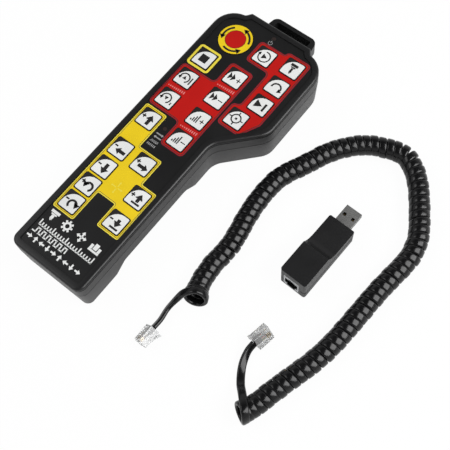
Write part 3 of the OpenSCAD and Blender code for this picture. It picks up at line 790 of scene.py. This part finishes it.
class Sign(Enum):
    """What is printed on each key: outlines in millimetres from the key's middle."""

    STOP = [bar(0, -0.3, 6.2, 6.2)]
    SPEED_UP = [*turn_arrow(-0.8, -0.3, 3.6, 1.0, -60, 200), wedge(-0.8, 0, 2.8, 3.2, 90),
                bar(4.4, -0.5, 1.0, 6.0)]
    SPEED_DOWN = [*turn_arrow(-0.8, -0.3, 3.6, 1.0, -60, 200), wedge(-0.8, -0.5, 2.8, 3.2, -90),
                  bar(4.4, -2.4, 1.0, 2.2)]
    Y_PLUS = pair([arrow(1.3, -0.6, 8.0, 90, 2.6, 6.4)], True)
    Y_MINUS = pair([arrow(1.3, -0.8, 8.0, -90, 2.6, 6.4)], False)
    X_PLUS = pair([arrow(1.3, -1.9, 8.0, 0, 2.4, 5.6)], True)
    X_MINUS = pair([arrow(1.1, -1.9, 8.0, 180, 2.4, 5.6)], False)
    Z_PLUS = pair([arrow(1.4, 0.3, 6.4, 90, 2.4, 6.2), bar(1.4, -4.1, 6.6, 1.4)], True)
    Z_MINUS = pair([arrow(1.4, -0.3, 6.0, -90, 2.4, 6.2), bar(1.4, -4.3, 6.6, 1.4)], False)
    A_PLUS = pair(turn_arrow(1.4, -1.3, 2.9, 1.6, -60, 180), True)
    A_MINUS = pair(turn_arrow(1.4, -1.3, 2.9, 1.6, 240, 0), False)
    FEED_PLUS = feed(plus(3.5, -0.6, 3.6, 0.7))
    FEED_MINUS = feed(bar(3.5, -0.6, 3.6, 0.7))
    JOG_PLUS = jog(plus(3.5, -0.6, 3.6, 0.7))
    JOG_MINUS = jog(bar(3.5, -0.6, 3.6, 0.7))
    CYCLE_START = [*turn_arrow(0, -0.3, 4.3, 0.9, 100, -200), wedge(0.4, -0.3, 3.8, 4.4)]
    SPINDLE = [bar(0, 2.9, 5.6, 2.2), bar(0, 1.0, 3.6, 1.0), bar(0, -1.6, 1.7, 3.8),
               wedge(0, -4.2, 1.2, 1.7, -90)]
    REDO = turn_arrow(0.2, -1.0, 3.4, 1.2, 190, -30)
    SINGLE_STEP = [wedge(-1.4, -0.3, 5.4, 6.4), bar(3.2, -0.3, 1.6, 6.4)]
    ORIGIN = [ring(3.3, 0.9), bar(0, 0, 1.6, 1.6), bar(-4.5, 0, 2.0, 0.8), bar(4.5, 0, 2.0, 0.8),
              bar(0, 4.5, 0.8, 2.0), bar(0, -4.5, 0.8, 2.0)]

    @property
    def key(self) -> str:
        """The name of the key that carries it."""
        return f"{self.name.lower()}_key"


COMPASS = ((0, 1, 0), (90, 0, 1), (180, -1, 0), (270, 0, -1))  # an angle, its cosine and its sine


# ---- Sub-assemblies ----


@dataclass
class Assembly:
    """A group of pieces that belong together.

    Attributes:
        model: What the frame's loader returned.
    """

    model: dict[str, object]

    @property
    def nodes(self) -> dict[str, bpy.types.Object]:
        """The construction's solids by name."""
        return self.model["nodes"]

    def body_of(self, name: str) -> str:
        """The body that a solid of the construction moves with."""
        return self.nodes[name].parent.name.removeprefix("body:")

    def dress(self, name: str, finish: Finish, slot: str, degrees: float = 35,
              bevel: float = 0.0) -> bpy.types.Object:
        """Gives a construction solid its finish and its fine edges.

        Args:
            name: The solid's name.
            finish: Its surface.
            slot: Not used.
            degrees: Sharper edges than this are edges of the form.
            bevel: Radius of its edges in millimetres.

        Returns:
            The solid's object.
        """
        node = self.nodes[name]
        node.data.materials.clear()
        node.data.materials.append(finish.make())
        LOG.info("dressed %s with %s", name, finish.name)
        return crisp(node, degrees, bevel)

    def paint_shade(self, name: str, opening: str, margin: float = 3.5) -> None:
        """Paints shade onto the walls of an opening with a dull near-black material.

        Args:
            name: The solid's name.
            opening: The opening's name in the record.
            margin: How far the walls may lie outside the opening's box, in millimetres.
        """
        boxes = {item["name"]: item["box_m"] for item in self.model["record"]["physics"]["openings"]}
        low, high = (Vector(corner) for corner in boxes[opening])
        middle, reach = (low + high) / 2, (high - low) / 2 + Vector((margin * MM,) * 3)
        mesh = self.nodes[name].data
        mesh.materials.append(PAINTED_SHADE.make())
        for face in mesh.polygons:
            offset = face.center - middle
            if all(abs(offset[k]) < reach[k] for k in range(3)) and offset.dot(face.normal) < 0:
                face.material_index = len(mesh.materials) - 1

    def place(self, piece: bpy.types.Object, slot: str, body: str = HOUSING_BODY) -> bpy.types.Object:
        """Lets a new piece ride on a body of the frame."""
        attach(piece, body)
        LOG.info("made %s on %s", piece.name, body)
        return piece

    def middle(self, name: str) -> Point2:
        """The middle of a solid in plan, in millimetres."""
        low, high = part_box(name)
        return (low.x + high.x) / 2 / MM, (low.y + high.y) / 2 / MM


@dataclass
class Housing(Assembly):
    """The moulded shells with the electronics, the jack and the screws."""

    def build(self) -> None:
        """Dresses the shells and what is inside them."""
        self.dress("back_shell", HOUSING, "housing", degrees=30, bevel=0.25)
        self.dress("top_cover", HOUSING, "housing", degrees=30, bevel=0.35)
        self.dress("main_board", BOARD, "circuit_board")
        self.dress("key_switches", CHIP, "component_black")
        self.dress("controller_chip", CHIP, "component_black")
        self.dress("power_led", LAMP, "led_lens")
        self.dress("link_led", LAMP, "led_lens")
        self.dress("handset_jack", JACK_GREY, "jack_grey", bevel=0.15)
        # Painted shade on the inner walls of the jack's mouth and of the hanging loop's slot.
        self.paint_shade("handset_jack", "handset_socket_mouth")
        self.paint_shade("top_cover", "hanging_loop_slot", margin=1.5)
        self.dress("handset_jack_contacts", GOLD, "contact_gold")
        self.dress("case_screws", ZINC, "screw_steel", bevel=0.15)
        self.dress("board_screws", ZINC, "screw_steel")


@dataclass(frozen=True)
class Field:
    """A coloured field printed on the film, with a border line and perhaps a thin line inside it.

    Attributes:
        name: The field's name.
        corners: Its outline.
        border: Finish of the border line.
        fill: Finish of the field.
        border_w: Width of the border line.
        line_w: Width of the dark line inside the border; 0 for none.
    """

    name: str
    corners: tuple[Corner, ...]
    border: Finish
    fill: Finish
    border_w: float = 0.8
    line_w: float = 0.0


@dataclass
class Keypad(Assembly):
    """The printed film and its keys.

    Attributes:
        key_s: Side of a key pad.
        white_s: Side of the white field on a key.
        gap: Gap between a key and the film.
        window_r: Radius of the corners of a key's window in the film.
        ink: Thickness of one printed layer.
        field_layers: Printed layers in a coloured field.
        white_r: Radius of three corners of the white field on a key.
        corner_cut: Radius of its fourth corner.
        stop_d: Diameter of the round pad.
        stop_rim: Width of the bare rim round its yellow ring.
        stop_line: Width of the dark line round its red disc.
        stop_disc_r: Radius of its red disc.
        stop_arrow: Radius and stroke of the arrows round the disc.
        stop_sweep: Angle that an arrow sweeps.
        film_z: Height of the film's face.
        key_z: Height of the keys' faces.
    """

    key_s: float = 14.0
    white_s: float = 12.8
    gap: float = 0.3
    window_r: float = 1.5
    ink: float = 0.02
    field_layers: int = 3
    white_r: float = 0.9
    corner_cut: float = 8.6
    stop_d: float = 24.6
    stop_rim: float = 0.15
    stop_line: float = 0.35
    stop_disc_r: float = 7.23
    stop_arrow: Point2 = (9.9, 1.5)
    stop_sweep: float = 70.0
    film_z: float = field(init=False, default=0.0)
    key_z: float = field(init=False, default=0.0)

    def build(self) -> None:
        """Prints the film and the keys."""
        film = self.dress("graphic_overlay", FILM, "overlay_film", bevel=0.06)
        self.film_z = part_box("graphic_overlay")[1].z / MM
        self.key_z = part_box("stop_key")[1].z / MM
        LOG.info("film %s at %.2f mm, keys at %.2f mm", film.name, self.film_z, self.key_z)
        for item in self.fields():
            self.print_field(item)
        self.print_marks()
        self.print_title()
        for sign in Sign:
            self.print_key(sign)
        self.print_emergency()

    def fields(self) -> list[Field]:
        """The film's coloured fields."""
        r = 3.0
        left_red = ((-38.8, 15.9, r), (-11.8, 15.9, r), (-11.8, -4.0, r), (7.2, -4.0, r),
                    (7.2, 74.6, r), (-11.8, 74.6, r), (-11.8, 54.7, r), (-38.8, 54.7, r))
        right_red = ((8.6, 31.1, r), (27.0, 31.1, r), (34.4, 46.0, r), (34.4, 103.8, r),
                     (15.4, 103.8, r), (14.0, 100.4, r / 2), (-6.1, 100.4, r), (-6.1, 81.4, r),
                     (13.6, 81.4, r), (13.6, 50.1, r), (8.6, 50.1, r))
        yellow = ((-38.3, -80.4, 1.6), (-20.3, -80.4, 1.6), (-20.3, -55.7, 1.0), (-5.8, -55.7, 1.0),
                  (-5.8, -73.7, 1.6), (12.2, -73.7, 1.6), (12.2, -34.5, 1.6), (-0.7, -34.5, 1.0),
                  (-0.7, -14.0, 1.6), (-20.3, -14.0, 1.0), (-20.3, 14.5, 1.6), (-38.3, 14.5, 1.6))
        frame = tuple(box_outline(18.5, 18.5, 2.6, self.middle("stop_key")))
        return [
            Field("left_red_field", left_red, RED_BAND_INK, RED_INK, line_w=0.4),
            Field("right_red_field", right_red, RED_BAND_INK, RED_INK, line_w=0.4),
            Field("yellow_field", yellow, YELLOW_BAND_INK, YELLOW_INK, line_w=0.3),
            Field("stop_frame", frame, YELLOW_BAND_INK, FILM, border_w=1.8),
        ]

    def window_cutter(self, z: float) -> bpy.types.Object:
        """Prisms through every key window, about a height."""
        maker = MeshMaker("window_cutter")
        side = self.key_s + 2 * self.gap
        for sign in Sign:
            window = box_outline(side, side, self.window_r, self.middle(sign.key))
            maker.prism(rounded(window, steps=4), z - CUT_MARGIN / 2, z + CUT_MARGIN / 2)
        return maker.finish([])

    def print_field(self, item: Field) -> None:
        """Prints one coloured field in nested layers with the key windows cut out."""
        layers = [("border", 0.0, item.border), ("fill", item.border_w + item.line_w, item.fill)]
        if item.line_w:
            layers.insert(1, ("line", item.border_w, LINE_INK))
        for level, (part, inset, finish) in enumerate(layers):
            low = self.film_z + self.ink * level
            maker = MeshMaker(f"{item.name}_{part}")
            maker.prism(rounded(inset_corners(item.corners, inset), steps=6), low, low + self.ink)
            piece = maker.finish([finish.make()])
            carve(piece, self.window_cutter(low))
            self.place(piece, "overlay_film")

    def print_shapes(self, name: str, shapes: Outlines, finish: Finish, low: float, at: Point2,
                     body: str = HOUSING_BODY, slot: str = "overlay_film") -> None:
        """Prints outlines as one thin piece.

        Args:
            name: The piece's name.
            shapes: Outlines in millimetres.
            finish: The ink.
            low: Height of the surface it is printed on.
            at: Where the outlines' origin goes.
            body: The body it rides on.
            slot: Not used.
        """
        maker = MeshMaker(name)
        for shape in moved(shapes, *at):
            maker.prism(shape, low, low + self.ink)
        self.place(maker.finish([finish.make()]), slot, body)

    def print_key(self, sign: Sign) -> None:
        """Prints a square key's white field and its sign."""
        name, slot = sign.key, "key_white"
        self.dress(name, KEY_EDGE, slot, bevel=0.12)
        corners = box_outline(self.white_s, self.white_s, self.white_r)
        corners[3] = (*corners[3][:2], self.corner_cut)
        layers = (("white", [rounded(corners, steps=6)], WHITE_INK), ("sign", sign.value, GLYPH_INK))
        for level, (part, shapes, finish) in enumerate(layers):
            self.print_shapes(f"{sign.name.lower()}_{part}", shapes, finish, self.key_z + level * self.ink,
                              self.middle(name), self.body_of(name), slot)

    def print_emergency(self) -> None:
        """Prints the round pad: a yellow ring with turning arrows round a red disc."""
        name, slot = EMERGENCY_KEY, "key_red"
        self.dress(name, KEY_EDGE, slot, bevel=0.12)
        arrows = [shape for start in (10, 130, 250)
                  for shape in turn_arrow(0, 0, *self.stop_arrow, start, start + self.stop_sweep)]
        layers = (("ring", [circle(self.stop_d / 2 - self.stop_rim)], YELLOW_INK, 0),
                  ("line", [circle(self.stop_disc_r + self.stop_line)], LINE_INK, 1),
                  ("disc", [circle(self.stop_disc_r)], RED_INK, 2),
                  ("arrows", arrows, GLYPH_INK, 1))
        for part, shapes, finish, level in layers:
            self.print_shapes(f"emergency_{part}", shapes, finish, self.key_z + level * self.ink,
                              self.middle(name), self.body_of(name), slot)

    def print_marks(self) -> None:
        """Prints the film's small signs."""
        bare, inked = self.film_z, self.film_z + self.field_layers * self.ink
        ramp = growing_ticks(1.6, 0.8, 0.9, 2.3, 9)
        for name, at in (("speed", (-29.3, 35.2)), ("feed", (-2.3, 55.2)), ("jog", (-2.3, 15.4))):
            self.print_shapes(f"{name}_ramp", ramp, PALE_RED_INK, inked, at)
        power = [arc_band(1.5, 0.4, 125, 415, steps=24), bar(0, 1.3, 0.45, 1.8)]
        self.print_shapes("power_sign", power, GREY_INK, bare, (-0.2, 102.4))
        link = [arrow(0, 3.0, 6, 0, 0.9, 2.2), arrow(0, 0.2, 6, 180, 0.9, 2.2),
                *pulse_train(-3, -3.2, 1.5, 1.3, 0.4, 4),
                *moved(growing_ticks(1.2, 0.6, 1.7, 1.7, 6), 0, -6.4)]
        self.print_shapes("link_sign", link, GREY_INK, bare, (-15.2, -2.2))
        cross = [arrow(2.8 * c, 2.8 * s, 4.0, d, 0.7, 1.9) for d, c, s in COMPASS]
        self.print_shapes("axis_sign", cross, YELLOW_BAND_INK, inked, (-12.5, -46.0))

    def print_title(self) -> None:
        """Prints the signs at the film's foot: machine signs, a scale, a pulse train and arrows."""
        cutter = [bar(0, 2.6, 7.0, 2.0), bar(0, 0.8, 4.4, 1.0), bar(0, -1.3, 2.2, 3.0),
                  wedge(0, -3.3, 1.2, 2.2, -90)]
        axes = [arrow(2.2 * c, 2.2 * s, 3.8, d, 1.2, 3.0) for d, c, s in COMPASS]
        vise = [bar(0, -2.9, 8.4, 1.4), bar(-3.1, -0.5, 2.0, 3.2), bar(3.1, -0.5, 2.0, 3.2),
                bar(0, 0.5, 3.0, 4.4)]
        signs = (("cutter", cutter), ("gear", gear(2.2, 1.4, 8)), ("axes", axes), ("vise", vise))
        rows = [(name, shapes, (-32.4 + 12.4 * k, -85.7)) for k, (name, shapes) in enumerate(signs)]
        scale = [bar(0, -2.2, 45.6, 0.8)]
        for k in range(-10, 11):
            y, height = (-0.2, 4.4) if k % 5 == 0 else (-1.0, 2.8)
            scale.append(bar(2.24 * k, y, 0.9, height))
        travel = [arrow(5.2 * k, 0, 4.4, 90 * (k % 4), 1.2, 3.6) for k in range(-4, 5)]
        rows += [("scale", scale, (-13.6, -93.3)),
                 ("pulse", pulse_train(-14, 0, 4.6, 3.4, 0.9, 6), (-22.6, -99.2)),
                 ("travel", travel, (-14.6, -104.8))]
        for name, shapes, at in rows:
            self.print_shapes(f"{name}_sign", shapes, WHITE_INK, self.film_z, at)


@dataclass
class Adapter(Assembly):
    """The line adapter with its jack and its plug.

    Attributes:
        at: The corner of its case, in plan.
        turn: How far it is turned, in degrees.
        size: Width and length of its case.
        corner_r: Radius of the case's corners.
        parting_z: Height of the case's parting line.
        seam: Height of the near-black line painted there as the shadow in the parting gap.
        seam_proud: How much wider and longer than the case the seam is.
        seam_depth: How much narrower and shorter than the case the seam's inside is.
        jack_span: Where the jack breaks the seam, from the case's left side.
    """

    at: Point2 = (103.1, -23.2)
    turn: float = -2.0
    size: Point2 = (20.0, 52.4)
    corner_r: float = 1.6
    parting_z: float = 7.3
    seam: float = 0.9
    seam_proud: float = 0.06
    seam_depth: float = 0.4
    jack_span: Point2 = (1.6, 16.4)

    def build(self) -> None:
        """Dresses the adapter's solids and paints a shadow line into the parting seam of its case."""
        self.dress("adapter_base", ADAPTER, "adapter_plastic", bevel=0.35)
        self.dress("adapter_cover", ADAPTER, "adapter_plastic", bevel=0.35)
        self.dress("adapter_board", BOARD, "circuit_board")
        self.dress("adapter_chip", CHIP, "component_black")
        self.dress("adapter_jack", JACK_GREY, "jack_grey", bevel=0.15)
        # Painted shade on the inner walls of the jack's mouth.
        self.paint_shade("adapter_jack", "adapter_socket_mouth")
        self.dress("adapter_jack_contacts", GOLD, "contact_gold")
        self.dress("usb_shell", NICKEL, "plated_steel", bevel=0.12)
        self.dress("usb_tongue", USB_BLACK, "usb_black")
        # The contacts take the darkened gold: painted shade inside the shell.
        self.dress("usb_contacts", SHADED_USB_GOLD, "contact_gold")
        # A painted shadow line at the case's parting gap.
        self.place(self.make_seam_shadow(), "adapter_plastic")

    def make_seam_shadow(self) -> bpy.types.Object:
        """A thin near-black line round the case at its parting line, open at the jack: painted shadow of the
        gap between cover and base.
        """
        place = placed(*self.at, 0, self.turn)
        low, high = self.parting_z - self.seam / 2, self.parting_z + self.seam / 2
        line = MeshMaker("adapter_seam")
        line.prism(self.outline(self.seam_proud), low, high)
        seam = line.finish([PAINTED_SHADE.make()], place)
        left, right = self.jack_span
        window = [(left, -CUT_MARGIN), (right, -CUT_MARGIN), (right, CUT_MARGIN), (left, CUT_MARGIN)]
        core = self.outline(-self.seam_depth)
        for name, outline in (("adapter_core", core), ("adapter_window", window)):
            cutter = MeshMaker(name)
            cutter.prism(outline, low - CUT_MARGIN, high + CUT_MARGIN)
            carve(seam, cutter.finish([], place))
        return seam

    def outline(self, extra: float) -> list[Point2]:
        """The outline of the case, made wider and longer."""
        width, length = self.size
        middle = (width / 2, length / 2)
        return rounded(box_outline(width + extra, length + extra, self.corner_r, middle), steps=5)


# ---- The cord ----


def smooth_line(points: Sequence[Sequence[float]], step: float) -> np.ndarray:
    """Runs a smooth line through points and samples it evenly.

    Args:
        points: Points to pass through.
        step: Distance between the samples.

    Returns:
        The samples, one in each row.
    """
    given = np.asarray(points, float)
    padded = np.vstack([2 * given[0] - given[1], given, 2 * given[-1] - given[-2]])
    dense = []
    for k in range(1, len(padded) - 2):
        p0, p1, p2, p3 = padded[k - 1 : k + 3]
        t = np.linspace(0, 1, SPLINE_STEPS, endpoint=False)[:, None]
        dense.append(0.5 * (2 * p1 + (p2 - p0) * t + (2 * p0 - 5 * p1 + 4 * p2 - p3) * t**2
                            + (3 * p1 - p0 - 3 * p2 + p3) * t**3))
    return even(np.vstack([*dense, given[-1:]]), step)


def gaps(line: np.ndarray) -> np.ndarray:
    """The distances between the points of a line."""
    return np.linalg.norm(np.diff(line, axis=0), axis=1)


def even(line: np.ndarray, step: float) -> np.ndarray:
    """Samples a line of points at an even distance."""
    along = np.concatenate([[0], np.cumsum(gaps(line))])
    count = max(2, round(along[-1] / step) + 1)
    wanted = np.linspace(0, along[-1], count)
    return np.stack([np.interp(wanted, along, line[:, k]) for k in range(line.shape[1])], axis=1)


def unit_rows(vectors: np.ndarray) -> np.ndarray:
    """Scales each row to length 1."""
    return vectors / np.linalg.norm(vectors, axis=1, keepdims=True)


@dataclass
class HandsetCord(Assembly):
    """The coiled cord, its straight tails and its two clear plugs.

    Attributes:
        width: Width of the flat strand.
        thickness: Thickness of the flat strand.
        edge_r: Radius of the strand's edges.
        coil_r: Distance of the strand's middle from the coil's axis.
        pitch: Advance of the coil in one turn.
        axis_z: Height of the coil's axis.
        turn_steps: Samples in one turn.
        start_angle: Where on the coil the first tail joins it, in degrees past the top.
        end_angle: The same for the second tail.
        blur: Samples of the axis that are averaged into one, so that its bends come softly.
        blur_run: Samples at each end over which that sets in.
        open_run: Length at each end over which the coil opens out.
        lifts: How far each end rises.
        flares: How much wider each end is.
        crowd: How much the coil is squeezed together at each end.
        crowd_run: Length over which it is squeezed.
        wobble: How far a turn may lie out of line with the next.
        waves: Rate and shift of that along, across and up.
        calm_run: Length at each end over which it sets in.
        lap_steps: Samples in each lap.
        lap_angle: How far past the top each tail laps over the coil, in degrees.
        laps: How far out from the coil each tail lies there.
        backs: How far along the coil it lies there.
        sample: Distance between samples of the axis and of the tails.
        approach: Where a tail turns into its lap, as a share of the gap between them.
        lean: How near to that place the tail's last point is drawn.
        twist_runs: Length of each tail, from its plug, over which it keeps or loses the plug's roll.
        untwist: Length over which it loses it.
        joint_ease: Samples of the tail and of the coil that are smoothed at a joint.
        ease_passes: How often it is smoothed.
        route: The coil's axis, in plan.
        tail_a: The first tail, from its plug.
        tail_b: The second tail, from its plug.
        plug_roll: How far a plug leans over, in degrees.
        plug_turns: Which way each plug points, in degrees from +Y.
        plug_z: Height of a plug's axis.
        stub: Where the jacket lies inside a plug, from its rear face inwards.
        stub_cut: How much narrower and thinner it is there.
        stub_r: Radius of its edges there.
        wire_pitch: Distance between two wires in a plug.
        wire_r: Radius of a wire.
        wire_line: A wire's line, from its tip: distance from the rear face, and height.
    """

    width: float = 5.35
    thickness: float = 2.7
    edge_r: float = 1.2
    coil_r: float = 5.7
    pitch: float = 5.15
    axis_z: float = 7.35
    turn_steps: int = 28
    start_angle: float = 80.0
    end_angle: float = -80.0
    blur: int = 9
    blur_run: int = 8
    open_run: float = 10.0
    lifts: tuple[float, float] = (1.7, 0.6)
    flares: tuple[float, float] = (1.7, 0.6)
    crowd: float = 4.6
    crowd_run: float = 10.0
    wobble: float = 0.16
    waves: tuple[Point2, ...] = ((0.23, 0.0), (0.43, 1.0), (0.37, 0.0))
    calm_run: float = 20.0
    lap_steps: int = 15
    lap_angle: float = 40.0
    laps: tuple[float, float] = (1.4, 2.4)
    backs: tuple[float, float] = (-1.1, 3.8)
    sample: float = 1.0
    approach: float = 0.3
    lean: float = 0.58
    twist_runs: tuple[float, float] = (35.0, 21.0)
    untwist: float = 14.0
    joint_ease: tuple[float, float] = (18.0, 6.0)
    ease_passes: int = 36
    route: tuple[Point2, ...] = (
        (69, -68), (67.5, -65), (65, -58), (63.5, -43), (64.5, -31), (63.5, -19), (60.5, -3), (59, 14),
        (60.5, 33), (69, 52.5), (76, 68.5), (85.5, 81.5), (95.5, 90), (107, 95), (118, 97.5), (128, 93),
        (136.5, 85.5), (144, 76), (152, 64), (159, 52), (162, 38), (161, 25), (159, 8), (158, -8),
        (157, -26), (155.5, -42), (152.5, -57.5), (148, -72.5), (143.5, -88.5), (141, -98.5), (137, -107.5),
    )
    tail_a: tuple[Corner, ...] = (
        (59.6, -99.8, 5.7), (59.5, -92.5, 4.5), (58.5, -85, 4.5), (59, -79, 6), (60.5, -74, 9),
    )
    tail_b: tuple[Corner, ...] = (
        (116.7, -68.1, 5.7), (116.5, -74.5, 4.5), (118.5, -82, 3.5), (122, -88.5, 3.5), (126.5, -94.5, 5.5),
    )
    plug_roll: float = 54.0
    plug_turns: tuple[float, float] = (180.0, -10.0)
    plug_z: float = 5.94
    stub: Point2 = (0.15, 4.6)
    stub_cut: Point2 = (1.2, 0.2)
    stub_r: float = 1.0
    wire_pitch: float = 1.02
    wire_r: float = 0.42
    wire_line: tuple[Point2, ...] = ((9.2, 0.9), (7.4, 0.7), (4.6, 0.0))

    def axis(self) -> np.ndarray:
        """The coil's axis in plan, one sample in each row."""
        flat = smooth_line(self.route, self.sample)
        margin = self.blur // 2
        padded = np.vstack([np.repeat(flat[:1], margin, 0), flat, np.repeat(flat[-1:], margin, 0)])
        kernel = np.ones(self.blur) / self.blur
        blurred = np.stack([np.convolve(padded[:, k], kernel, "valid") for k in range(2)], axis=1)
        count = np.arange(len(flat))
        fade = np.clip(np.minimum(count, count[::-1]) / self.blur_run, 0, 1)[:, None]
        return even(flat * (1 - fade) + blurred * fade, self.sample)

    def coil(self) -> tuple[np.ndarray, np.ndarray]:
        """The coil's centreline with the laps at its ends, and the way its flat side faces across.

        Returns:
            Points, and at each the direction of the strand's width.
        """
        axis = self.axis()
        length = float(gaps(axis).sum())
        turns = round(length / self.pitch) + (self.end_angle - self.start_angle) / 360
        start = math.radians(self.start_angle)
        phase = np.linspace(start, start + math.tau * turns, round(turns * self.turn_steps) + 1)
        run = np.linspace(0, length, len(phase))
        calm = np.clip(np.minimum(run, length - run) / self.calm_run, 0, 1) * self.wobble
        along, across, upwards = (np.sin(rate * phase + shift) for rate, shift in self.waves)
        squeeze = np.exp(-(length - run) / self.crowd_run) - np.exp(-run / self.crowd_run)
        run = run + self.crowd * (2 * run / length - 1 - squeeze) + calm * along
        run = np.clip(run, 0, length)
        openings = [np.clip(1 - part / self.open_run, 0, 1) ** 2 for part in (run, length - run)]
        height = self.axis_z + self.lifts[0] * openings[0] + self.lifts[1] * openings[1]
        radius = self.coil_r + self.flares[0] * openings[0] + self.flares[1] * openings[1]
        samples = np.linspace(0, length, len(axis))
        middle = np.column_stack([*(np.interp(run, samples, axis[:, k]) for k in range(2)), height])
        tangent = unit_rows(np.gradient(middle, axis=0))
        right = unit_rows(np.column_stack([tangent[:, 1], -tangent[:, 0], np.zeros(len(tangent))]))
        up = np.cross(right, tangent)
        middle = middle + (calm * across)[:, None] * right + (calm * np.abs(upwards))[:, None] * up
        points = middle + radius[:, None] * (np.sin(phase)[:, None] * right + np.cos(phase)[:, None] * up)
        laps = [self.lap(end, middle[end], radius[end], (tangent[end], right[end], up[end]))
                for end in (0, -1)]
        count = self.lap_steps
        sides = np.vstack([np.repeat(-tangent[:1], count, 0), -tangent, np.repeat(-tangent[-1:], count, 0)])
        LOG.info("coil of %.1f turns, %.0f mm long", turns, length)
        return np.vstack([laps[0][::-1], points, laps[1]]), sides

    def lap(self, end: int, middle: np.ndarray, radius: float, frame: Sequence[np.ndarray]) -> np.ndarray:
        """The strand from one end of the coil to where its tail meets it.

        Args:
            end: 0 for the first end, -1 for the second.
            middle: The end of the coil's axis.
            radius: The coil's radius there.
            frame: The directions along the axis, across it and up from it.

        Returns:
            Its points, from the coil outwards.
        """
        angle, way = (self.start_angle, 1) if end == 0 else (self.end_angle, -1)
        tangent, right, up = frame
        share = np.linspace(0, 1, self.lap_steps + 1)[1:, None]
        ease = share * share * (3 - 2 * share)
        turn = np.radians(angle - (way * self.lap_angle + angle) * share)
        reach = radius + self.laps[end] * ease
        return (middle + reach * (np.sin(turn) * right + np.cos(turn) * up)
                + way * self.backs[end] * share ** 2 * tangent)

    def tail(self, route: Sequence[Corner], joint: np.ndarray, heading: np.ndarray, turn: float,
             twist_run: float) -> tuple[np.ndarray, np.ndarray]:
        """A tail from a plug to the coil.

        Args:
            route: Points from the plug's rear face to near the coil.
            joint: Where it meets the coil.
            heading: Its direction there, away from the plug.
            turn: The plug's heading, in degrees.
            twist_run: Length over which it keeps or loses the plug's roll.

        Returns:
            Points, and at each the direction of the strand's width.
        """
        near = np.asarray(route[-1], float)
        before = joint - heading * np.linalg.norm(joint - near) * self.approach
        between = near * (1 - self.lean) + before * self.lean
        line = smooth_line([*route, tuple(between), tuple(joint)], self.sample)
        a, b = math.radians(turn), math.radians(self.plug_roll)
        plug_side = np.array([math.cos(a) * math.cos(b), math.sin(a) * math.cos(b), -math.sin(b)])
        across = np.cross(unit_rows(np.gradient(line, axis=0)), [0, 0, 1])
        if np.dot(plug_side, across[0]) < 0:
            plug_side = -plug_side
        share = np.clip((twist_run - np.arange(len(line))) / self.untwist, 0, 1)[:, None]
        return line, unit_rows(share * plug_side + (1 - share) * unit_rows(across))

    def strand(self) -> tuple[np.ndarray, np.ndarray, np.ndarray]:
        """The whole strand: a tail, the coil and the other tail, smoothed where they meet.

        Returns:
            Points, and at each the directions of the strand's width and thickness.
        """
        coil, coil_side = self.coil()
        tails = []
        for index, (route, joint, inward) in enumerate(((self.tail_a, 0, 1), (self.tail_b, -1, -2))):
            heading = unit_rows((coil[inward] - coil[joint])[None])[0]
            line, side = self.tail(route, coil[joint], heading, self.plug_turns[index],
                                   self.twist_runs[index])
            tails.append((line, -side if np.dot(side[-1], coil_side[joint]) < 0 else side))
        points, sides = (np.vstack([first[:-1], middle, last[-2::-1]])
                         for first, middle, last in zip(tails[0], (coil, coil_side), tails[1]))
        steps = np.arange(len(points)) - len(tails[0][0]) + 1
        outside, inside = self.joint_ease
        away = np.min([np.where(part < 0, -part / outside, part / inside)
                       for part in (steps, len(coil) - 1 - steps)], axis=0)
        ease = np.clip(1 - away, 0, 1)[1:-1, None] / 4
        for _ in range(self.ease_passes):
            points[1:-1] += ease * (points[:-2] - 2 * points[1:-1] + points[2:])
            sides[1:-1] = (sides[:-2] + 2 * sides[1:-1] + sides[2:]) / 4
        direction = unit_rows(np.gradient(points, axis=0))
        sides = unit_rows(sides - (sides * direction).sum(1, keepdims=True) * direction)
        return points, sides, np.cross(direction, sides)

    def dress_plug(self, letter: str, rear: Corner, turn: float) -> list[bpy.types.Object]:
        """Dresses a plug and puts the end of the jacket and the four wires inside it.

        Args:
            letter: Which plug it is.
            rear: The middle of its rear face; its height isn't used.
            turn: Which way it points, in degrees from +Y.

        Returns:
            The plug's pieces.
        """
        roll = Matrix.Rotation(math.radians(self.plug_roll), 4, "Y")
        place = placed(*rear[:2], self.plug_z, turn) @ roll
        maker = MeshMaker(f"plug_{letter}_wires")
        width, thickness = self.width - self.stub_cut[0], self.thickness - self.stub_cut[1]
        jacket = rounded(box_outline(width, thickness, self.stub_r), steps=3)
        maker.loft([[(x, y, z) for x, z in jacket] for y in reversed(self.stub)])
        wire = circle(self.wire_r, steps=8)
        for k in range(len(WIRES)):
            x = (k - (len(WIRES) - 1) / 2) * self.wire_pitch
            maker.loft([[(x + a, y, z + b) for a, b in wire] for y, z in self.wire_line], k + 1)
        wires = maker.finish([finish.make() for finish in (CORD, *WIRES)], place)
        return [
            self.dress(f"plug_{letter}", CLEAR, "clear_plug", bevel=0.12),
            self.dress(f"plug_{letter}_contacts", GOLD, "contact_gold"),
            self.place(wires, "cord_jacket"),
        ]

    def build(self) -> None:
        """Makes the strand in one piece and dresses the plugs."""
        points, sides, faces = self.strand()
        shape = rounded(box_outline(self.width, self.thickness, self.edge_r), steps=3)
        maker = MeshMaker("handset_cord")
        maker.loft([[tuple(p + s * u + f * v) for u, v in shape] for p, s, f in zip(points, sides, faces)])
        cord = maker.finish([CORD.make()])
        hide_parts("coiled_cord", "cord_tail_a", "cord_tail_b")
        self.place(cord, "cord_jacket")
        plugs = self.dress_plug("a", self.tail_a[0], self.plug_turns[0])
        plugs += self.dress_plug("b", self.tail_b[0], self.plug_turns[1])


def main() -> None:
    """Builds the scene."""
    logging.basicConfig(level=logging.INFO, format="%(name)s: %(message)s")
    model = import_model()
    low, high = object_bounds()
    Studio().build((low + high) / 2)
    Viewpoint().set_up()
    for assembly in (Housing(model), Keypad(model), Adapter(model), HandsetCord(model)):
        assembly.build()
    low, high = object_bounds()


if __name__ == "__main__":
    main()
